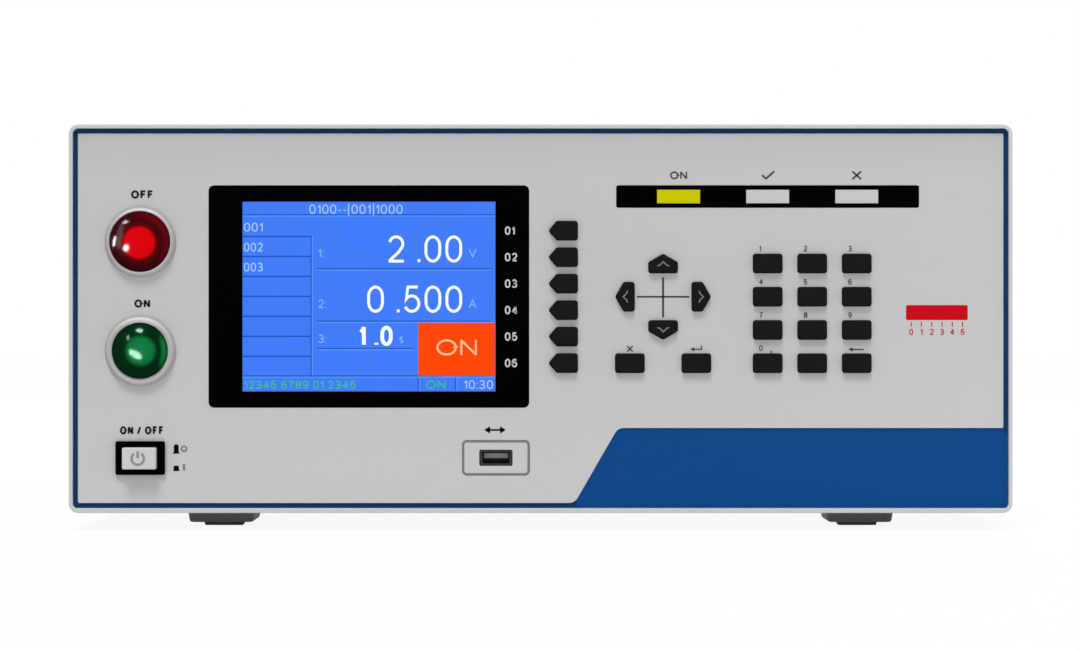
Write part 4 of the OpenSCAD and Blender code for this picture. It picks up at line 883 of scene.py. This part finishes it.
def print_red_bar():
    """A plain bar with a small scale below it."""
    bar_x, bar_z, bar_w, bar_h = 180.6, 2.8, 28.1, 6.8
    foot, step = bar_z - bar_h / 2, bar_w / SCALE_MARKS
    ink = Print("red_bar", FILM_Y, mat_ink_red, slot="red_plastic")
    ink.shape(rounded_points(bar_x, bar_z, bar_w, bar_h, r=0.6))
    for i in range(SCALE_MARKS):
        x = bar_x + (i - (SCALE_MARKS - 1) / 2) * step
        ink.rectangle(x - 0.25, x + 0.25, foot - 3.0, foot - 1.0)
        ink.text(f"{i}", x, foot - 6.8, height=2.8, stroke=0.45)
    ink.done()


KEY_FIGURE_X, KEY_FIGURE_DROP = -16.3, 1.9


def print_window():
    ink = Print("window_print", WINDOW_Y, mat_ink_white, slot="light_lens")
    for i in range(6):
        _, z = place_of(f"function_key_{i + 1}")
        ink.text(f"0{i + 1}", KEY_FIGURE_X, z - KEY_FIGURE_DROP, height=3.9, stroke=0.68, align="LEFT")
    ink.done()


KEY_PRINT_THICKNESS = 0.04
ARROW_POINTS = [(-2.7, -1.0), (-1.6, -0.7), (0, 0.9), (1.6, -0.7), (2.7, -1.0)]


def print_arrow_keys():
    for name, turn in (("up", 0), ("left", 90), ("down", 180), ("right", 270)):
        node = f"arrow_key_{name}"
        ink = Print(f"arrow_mark_{name}", low(node).y, mat_ink_pale, body=node, slot="light_lens",
                    thickness=KEY_PRINT_THICKNESS)
        x, z = place_of(node)
        a = math.radians(turn)
        ink.line([(x + p * math.cos(a) - q * math.sin(a), z + p * math.sin(a) + q * math.cos(a))
                  for p, q in ARROW_POINTS], 0.55)
        ink.done()


def print_power_cap():
    node = "power_button"
    ink = Print("power_mark", low(node).y, mat_ink_cap, body=node, slot="black_plastic",
                thickness=KEY_PRINT_THICKNESS)
    x, z = place_of(node)
    x -= 0.4
    ink.ring(x, z, radius=2.8, width=1.15, start=125, end=415, steps=28)
    ink.line([(x, z + 0.2), (x, z + 3.3)], 1.15)
    ink.done()


# The lit screen

SCREEN_PRINT_THICKNESS = 0.05


class Screen:
    """Marks on the screen, placed in millimetres from its upper left corner."""

    def __init__(self):
        self.left = (low("lcd_screen").x - FRONT.x) / MM
        self.top = (high("lcd_screen").z - FRONT.z) / MM
        self.width, self.height = size_of("lcd_screen")

    def ink(self, name, material, y=SCREEN_Y):
        return Print(name, y, material, slot="lit_screen", thickness=SCREEN_PRINT_THICKNESS)

    def bar(self, ink, x0, x1, y0, y1):
        ink.rectangle(self.left + x0, self.left + x1, self.top - y1, self.top - y0)

    def words(self, ink, text, x, y, height, stroke, **more):
        ink.text(text, self.left + x, self.top - y, height, stroke, **more)


# Places on the screen, in millimetres: the lines under the title and over the foot, the list at the
# left, the lines under the readings, the bright block, and the short uprights in the foot
TITLE_Y, FOOT_Y = 6.2, 79.7
ROW_PITCH, ROW_COUNT = 9.11, 9
LIST_W = 31.5
READ_X, READ_END = 34.1, 113.1
READ_LINES = (30.8, 54.7)
TIME_LINE_Y, TIME_LINE_END = 67.15, 77.7
BLOCK_X, BLOCK_Y = 80.0, 55.1
FOOT_MARKS = (80.4, 97.4)
LINE_W, LINE_GAP = 0.55, 0.02
# Words, right end, foot, height, stroke, width
READINGS = (("2 .00", 100.1, 27.7, 12.4, 1.3, 33.9),
            ("0 .500", 100.1, 50.6, 12.4, 1.3, 43.3),
            ("1 .0", 68.4, 65.7, 9.2, 1.7, 15.4))
# Letter, its left end, foot
UNITS = (("V", 103.0, 25.4), ("A", 103.0, 48.5), ("s", 71.4, 64.4))
SMALL_H, SMALL_STROKE = 4.1, 0.55
UNIT_H, UNIT_STROKE = 4.0, 0.6
# The left end of the words at the screen's edge, and the foot of those in its lowest row
MARGIN, FOOT_WORDS_Y = 0.6, 85.3


def make_screen():
    screen = Screen()
    make_screen_lines(screen)
    make_screen_block(screen)
    make_screen_words(screen)


def make_screen_lines(screen):
    dark = screen.ink("screen_dark_lines", mat_line_dark)
    light = screen.ink("screen_light_lines", mat_line_light)

    def rule(x0, x1, y):
        screen.bar(dark, x0, x1, y - LINE_W, y)
        screen.bar(light, x0, x1, y + LINE_GAP, y + LINE_W)

    def upright(x, y0, y1):
        screen.bar(dark, x - LINE_W, x, y0, y1)
        screen.bar(light, x + LINE_GAP, x + LINE_W, y0, y1)

    rule(0, screen.width, TITLE_Y)
    rule(0, screen.width, FOOT_Y)
    for i in range(1, ROW_COUNT - 1):
        row_y = TITLE_Y + 0.7 + i * ROW_PITCH
        screen.bar(dark, 0, LIST_W - LINE_W, row_y - LINE_W, row_y + 0.1)
    upright(LIST_W, TITLE_Y + ROW_PITCH, FOOT_Y - 0.5)
    for y in READ_LINES:
        rule(READ_X, READ_END, y)
    rule(READ_X, TIME_LINE_END, TIME_LINE_Y)
    for x in FOOT_MARKS:
        upright(x, FOOT_Y + 0.6, screen.height - 0.3)
    dark.done()
    light.done()


def make_screen_block(screen):
    block = screen.ink("screen_block", mat_screen_orange)
    screen.bar(block, BLOCK_X, screen.width - 0.1, BLOCK_Y, FOOT_Y)
    block.done()
    mark = screen.ink("screen_block_words", mat_screen_cream, SCREEN_Y - SCREEN_PRINT_THICKNESS * MM)
    screen.words(mark, "ON", (BLOCK_X + screen.width) / 2, 70.1, height=7.4, stroke=0.95, width=18.5)
    mark.done()


def make_screen_words(screen):
    white = screen.ink("screen_figures", mat_screen_white)
    for words, end, y, height, stroke, width in READINGS:
        screen.words(white, words, end, y, height, stroke, align="RIGHT", width=width)
    white.done()

    pale = screen.ink("screen_small_words", mat_screen_pale)
    screen.words(pale, "0100--[001]1000", 51.7, 5.5, 4.3, SMALL_STROKE, width=42.5)
    for i in range(3):
        row_y = TITLE_Y + i * ROW_PITCH + 7.4
        screen.words(pale, f"00{i + 1}", MARGIN, row_y, SMALL_H, SMALL_STROKE, align="LEFT", width=8.6)
    screen.words(pale, "10:30", screen.width - 1.0, 85.4, SMALL_H, SMALL_STROKE, align="RIGHT", width=13.4)
    pale.done()

    dim = screen.ink("screen_dim_words", mat_screen_dim)
    for i, (unit, x, y) in enumerate(UNITS):
        screen.words(dim, unit, x, y, UNIT_H, UNIT_STROKE, align="LEFT")
        screen.words(dim, f"{i + 1}:", READ_X + 0.4, y, UNIT_H, UNIT_STROKE, align="LEFT")
    dim.done()

    green = screen.ink("screen_green_words", mat_screen_green)
    screen.words(green, "12345 6789 01 2345", MARGIN, FOOT_WORDS_Y, 3.7, SMALL_STROKE, align="LEFT",
                 width=51.0)
    screen.words(green, "ON", 83.6, FOOT_WORDS_Y, 3.9, UNIT_STROKE, align="LEFT", width=9.0)
    green.done()


# Push buttons

def radial_lens(name, middle, stops, side_light_stops, reach, side_light_way, side_light_range, glow=None):
    """A coloured lens: its colour changes from its middle to its edge, where the share of its reach is
    1, and towards one side from the plain stops to the lit ones, which are painted light where the lens
    gathers light on that side."""
    s = Surface(name)
    s.set(Roughness=0.11, Specular_IOR_Level=0.025)
    share = s.math("DIVIDE", s.distance_from(middle), reach)
    x, z = s.axes()
    across = s.math("MULTIPLY", s.math("SUBTRACT", x, middle.x), side_light_way[0])
    up = s.math("MULTIPLY", s.math("SUBTRACT", z, middle.z), side_light_way[1])
    side = s.math("DIVIDE", s.math("ADD", across, up), reach * MM)
    lit = s.ramp(side, [(side_light_range[0], BLACK), (side_light_range[1], WHITE)])
    mix = s.mixed(lit, s.ramp(share, stops), s.ramp(share, side_light_stops))
    s.links.new(mix, s.shader.inputs["Base Color"])
    if glow:
        s.links.new(s.ramp(share, glow), s.shader.inputs["Emission Color"])
        s.shader.inputs["Emission Strength"].default_value = 1.0
    return s.material


def bend_of(radius, height):
    """The radius of the ball that a dome is cut from."""
    return (radius * radius + height * height) / (2 * height)


# How far each lens bulges, and how far its barrel goes back behind the film, in millimetres
DOME_H = {"stop_button": 3.6, "start_button": 2.7}
BARREL_DEPTH = 8.0
DOME_STEPS = 28


def dome_profile(radius, rise, height):
    """(radius, distance out of the face) of a lens, from its top to its rim and back along its barrel."""
    bend = bend_of(radius, height)
    angles = [math.asin(radius / bend) * i / DOME_STEPS for i in range(DOME_STEPS + 1)]
    top = [(bend * math.sin(a), rise - bend + bend * math.cos(a)) for a in angles]
    return top + [(radius, -BARREL_DEPTH), (0, -BARREL_DEPTH)]


def make_lens(node, disc_shift, side_light_way, side_light_range, stops, side_light_stops, glow=None):
    """The lens of a push button; its lit disc sits a little off its middle."""
    middle = centre(node)
    middle.y = FILM_Y
    radius = size_of(node)[0] / 2
    rise = (FILM_Y - low(node).y) / MM
    disc = middle + Vector((disc_shift[0], 0, disc_shift[1])) * MM
    material = radial_lens(node + "_lens", disc, stops, side_light_stops, radius, side_light_way, side_light_range, glow)
    lens = revolved(node + "_dome", dome_profile(radius, rise, DOME_H[node]), middle, material,
                    body=node, slot="red_lens" if node == "stop_button" else "green_lens")
    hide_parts(node)
    return lens


def make_buttons():
    red, soft_red = srgb(120, 0, 6), srgb(96, 1, 8)
    # Each lens: the shift of its disc, the way and range of the painted light on one side, its plain stops,
    # its stops with painted light, and the glow of the stop button's lamp
    stop_lens = make_lens(
        "stop_button", (0.1, -0.6), (0.9, 0.45), (0.1, 0.7),
        [(0.0, red), (0.5, red), (0.58, soft_red), (0.66, srgb(86, 3, 10)), (0.76, srgb(62, 2, 8)),
         (0.9, srgb(52, 1, 7)), (1.0, srgb(60, 2, 8))],
        [(0.0, red), (0.5, red), (0.58, soft_red), (0.7, srgb(58, 2, 7)), (0.8, srgb(80, 3, 11)),
         (0.88, srgb(98, 4, 14)), (1.0, srgb(90, 4, 12))],
        [(0.0, srgb(196, 0, 6)), (0.48, srgb(190, 0, 6)), (0.58, BLACK), (1.0, BLACK)])
    middle_green, green, deep_green = srgb(22, 128, 74), srgb(8, 120, 58), srgb(0, 46, 19)
    start_lens = make_lens(
        "start_button", (0.8, 0.0), (1.0, 0.0), (0.62, 0.8),
        [(0.0, middle_green), (0.44, green), (0.6, deep_green), (0.76, srgb(0, 40, 16)),
         (0.9, srgb(0, 42, 17)), (1.0, srgb(0, 38, 15))],
        [(0.0, middle_green), (0.44, green), (0.6, deep_green), (0.7, srgb(0, 60, 26)),
         (0.78, srgb(6, 120, 54)), (0.85, srgb(6, 120, 52)), (0.94, srgb(2, 76, 32))])
    return {"stop_button": stop_lens, "start_button": start_lens}


# Rear and socket details

def add_box(name, lower, upper, material, slot):
    bm = bmesh.new()
    bmesh.ops.create_cube(bm, size=1.0)
    middle = (lower + upper) / 2
    size = Matrix.Diagonal((*(upper - lower), 1))
    bmesh.ops.transform(bm, matrix=Matrix.Translation(middle) @ size, verts=bm.verts)
    return add_piece(name, mesh_of(name, bm), material, slot=slot)


# In millimetres: half the tongue's width, its foot and top over the socket's middle, how far behind the
# shell's mouth it starts, and its length
TONGUE_HALF_W, TONGUE_FOOT, TONGUE_TOP = 5.5, -0.4, 1.9
TONGUE_SETBACK, TONGUE_LENGTH = 4.0, 9.0


def make_usb_tongue():
    x, z = place_of("usb_socket")
    y = low("usb_socket").y + TONGUE_SETBACK * MM
    add_box("usb_tongue", on_front(x - TONGUE_HALF_W, z + TONGUE_FOOT, y),
            on_front(x + TONGUE_HALF_W, z + TONGUE_TOP, y + TONGUE_LENGTH * MM), mat_tongue, "black_plastic")


SOCKET_COLLAR_R = 11
# (radius, distance out of the rear panel) in millimetres, from the sleeve's bore over its mouth
SLEEVE_PROFILE = [(1.97, -11.0), (1.97, 10.04), (3.14, 10.04), (3.14, -5.9)]


def make_test_sockets():
    """The plated sleeve inside each shrouded socket."""
    lo, hi = low("rear_terminals"), high("rear_terminals")
    collar_r = SOCKET_COLLAR_R * MM
    z = centre("rear_terminals").z
    for i in range(3):
        x = lo.x + collar_r + i * (hi.x - lo.x - 2 * collar_r) / 2
        revolved(f"socket_sleeve_{i + 1}", SLEEVE_PROFILE, Vector((x, REAR_Y, z)), mat_brass, steps=48,
                 forwards=False, slot="plated_steel")


# Half of the insert's outline, from its wide side, in millimetres from the port's middle
INSERT_HALF = [(7.2, 3.2), (6.2, -2.6), (5.4, -3.2)]
# Height of a row of contacts over the port's middle, and how many it has
CONTACT_ROWS = ((1.42, 5), (-1.42, 4))
CONTACT_PITCH, CONTACT_R = 2.77, 0.55
# The port's flange from side to side, and how far its insert and its contacts stand out of the panel
FLANGE_W = 31
INSERT_OUT, CONTACTS_OUT = 5.2, 5.25


def make_port_faces():
    """A dark insert with nine contacts in each D-shaped port."""
    lo, hi = low("interface_ports"), high("interface_ports")
    half_flange = FLANGE_W * MM / 2
    z = (centre("interface_ports").z - FRONT.z) / MM
    insert = Print("port_inserts", REAR_Y + INSERT_OUT * MM, mat_black, slot="black_plastic", way=1)
    contacts = Print("port_contacts", REAR_Y + CONTACTS_OUT * MM, mat_brass, slot="plated_steel", way=1)
    for place in (lo.x + half_flange, hi.x - half_flange):
        x = (place - FRONT.x) / MM
        insert.shape([(x - dx, z + dz) for dx, dz in INSERT_HALF]
                     + [(x + dx, z + dz) for dx, dz in reversed(INSERT_HALF)])
        for row, count in CONTACT_ROWS:
            for i in range(count):
                contacts.disc(x + (i - (count - 1) / 2) * CONTACT_PITCH, z + row, CONTACT_R)
    insert.done()
    contacts.done()


# In millimetres: each pin's place from the cavity's middle, half its width and height, how far its end
# lies behind the rear panel, and how far the plating stands proud of the CAD pin
PIN_PLACES = ((-7, 0), (7, 0), (0, 4))
PIN_HALF_W, PIN_HALF_H, PIN_DEPTH = 1, 2, 13.9
PLATING = 0.04
CAVITY_RISE = 6.2


def make_inlet_pins():
    middle = centre("power_inlet")
    half = Vector((PIN_HALF_W + PLATING, 0, PIN_HALF_H + PLATING)) * MM
    for i, (dx, dz) in enumerate(PIN_PLACES):
        axis = Vector((middle.x + dx * MM, REAR_Y, middle.z + (CAVITY_RISE + dz) * MM))
        add_box(f"inlet_pin_{i + 1}", axis - half - Vector((0, PIN_DEPTH * MM, 0)),
                axis + half + Vector((0, PLATING * MM, 0)), mat_brass, "plated_steel")


def main():
    make_camera()
    make_lights()
    make_floor()
    dress_frame()
    make_glints(make_buttons())
    print_film()
    print_usb_outline()
    print_red_bar()
    print_window()
    print_arrow_keys()
    print_power_cap()
    make_screen()
    make_usb_tongue()
    make_test_sockets()
    make_port_faces()
    make_inlet_pins()
    bpy.context.scene.view_settings.view_transform = "Standard"


main()
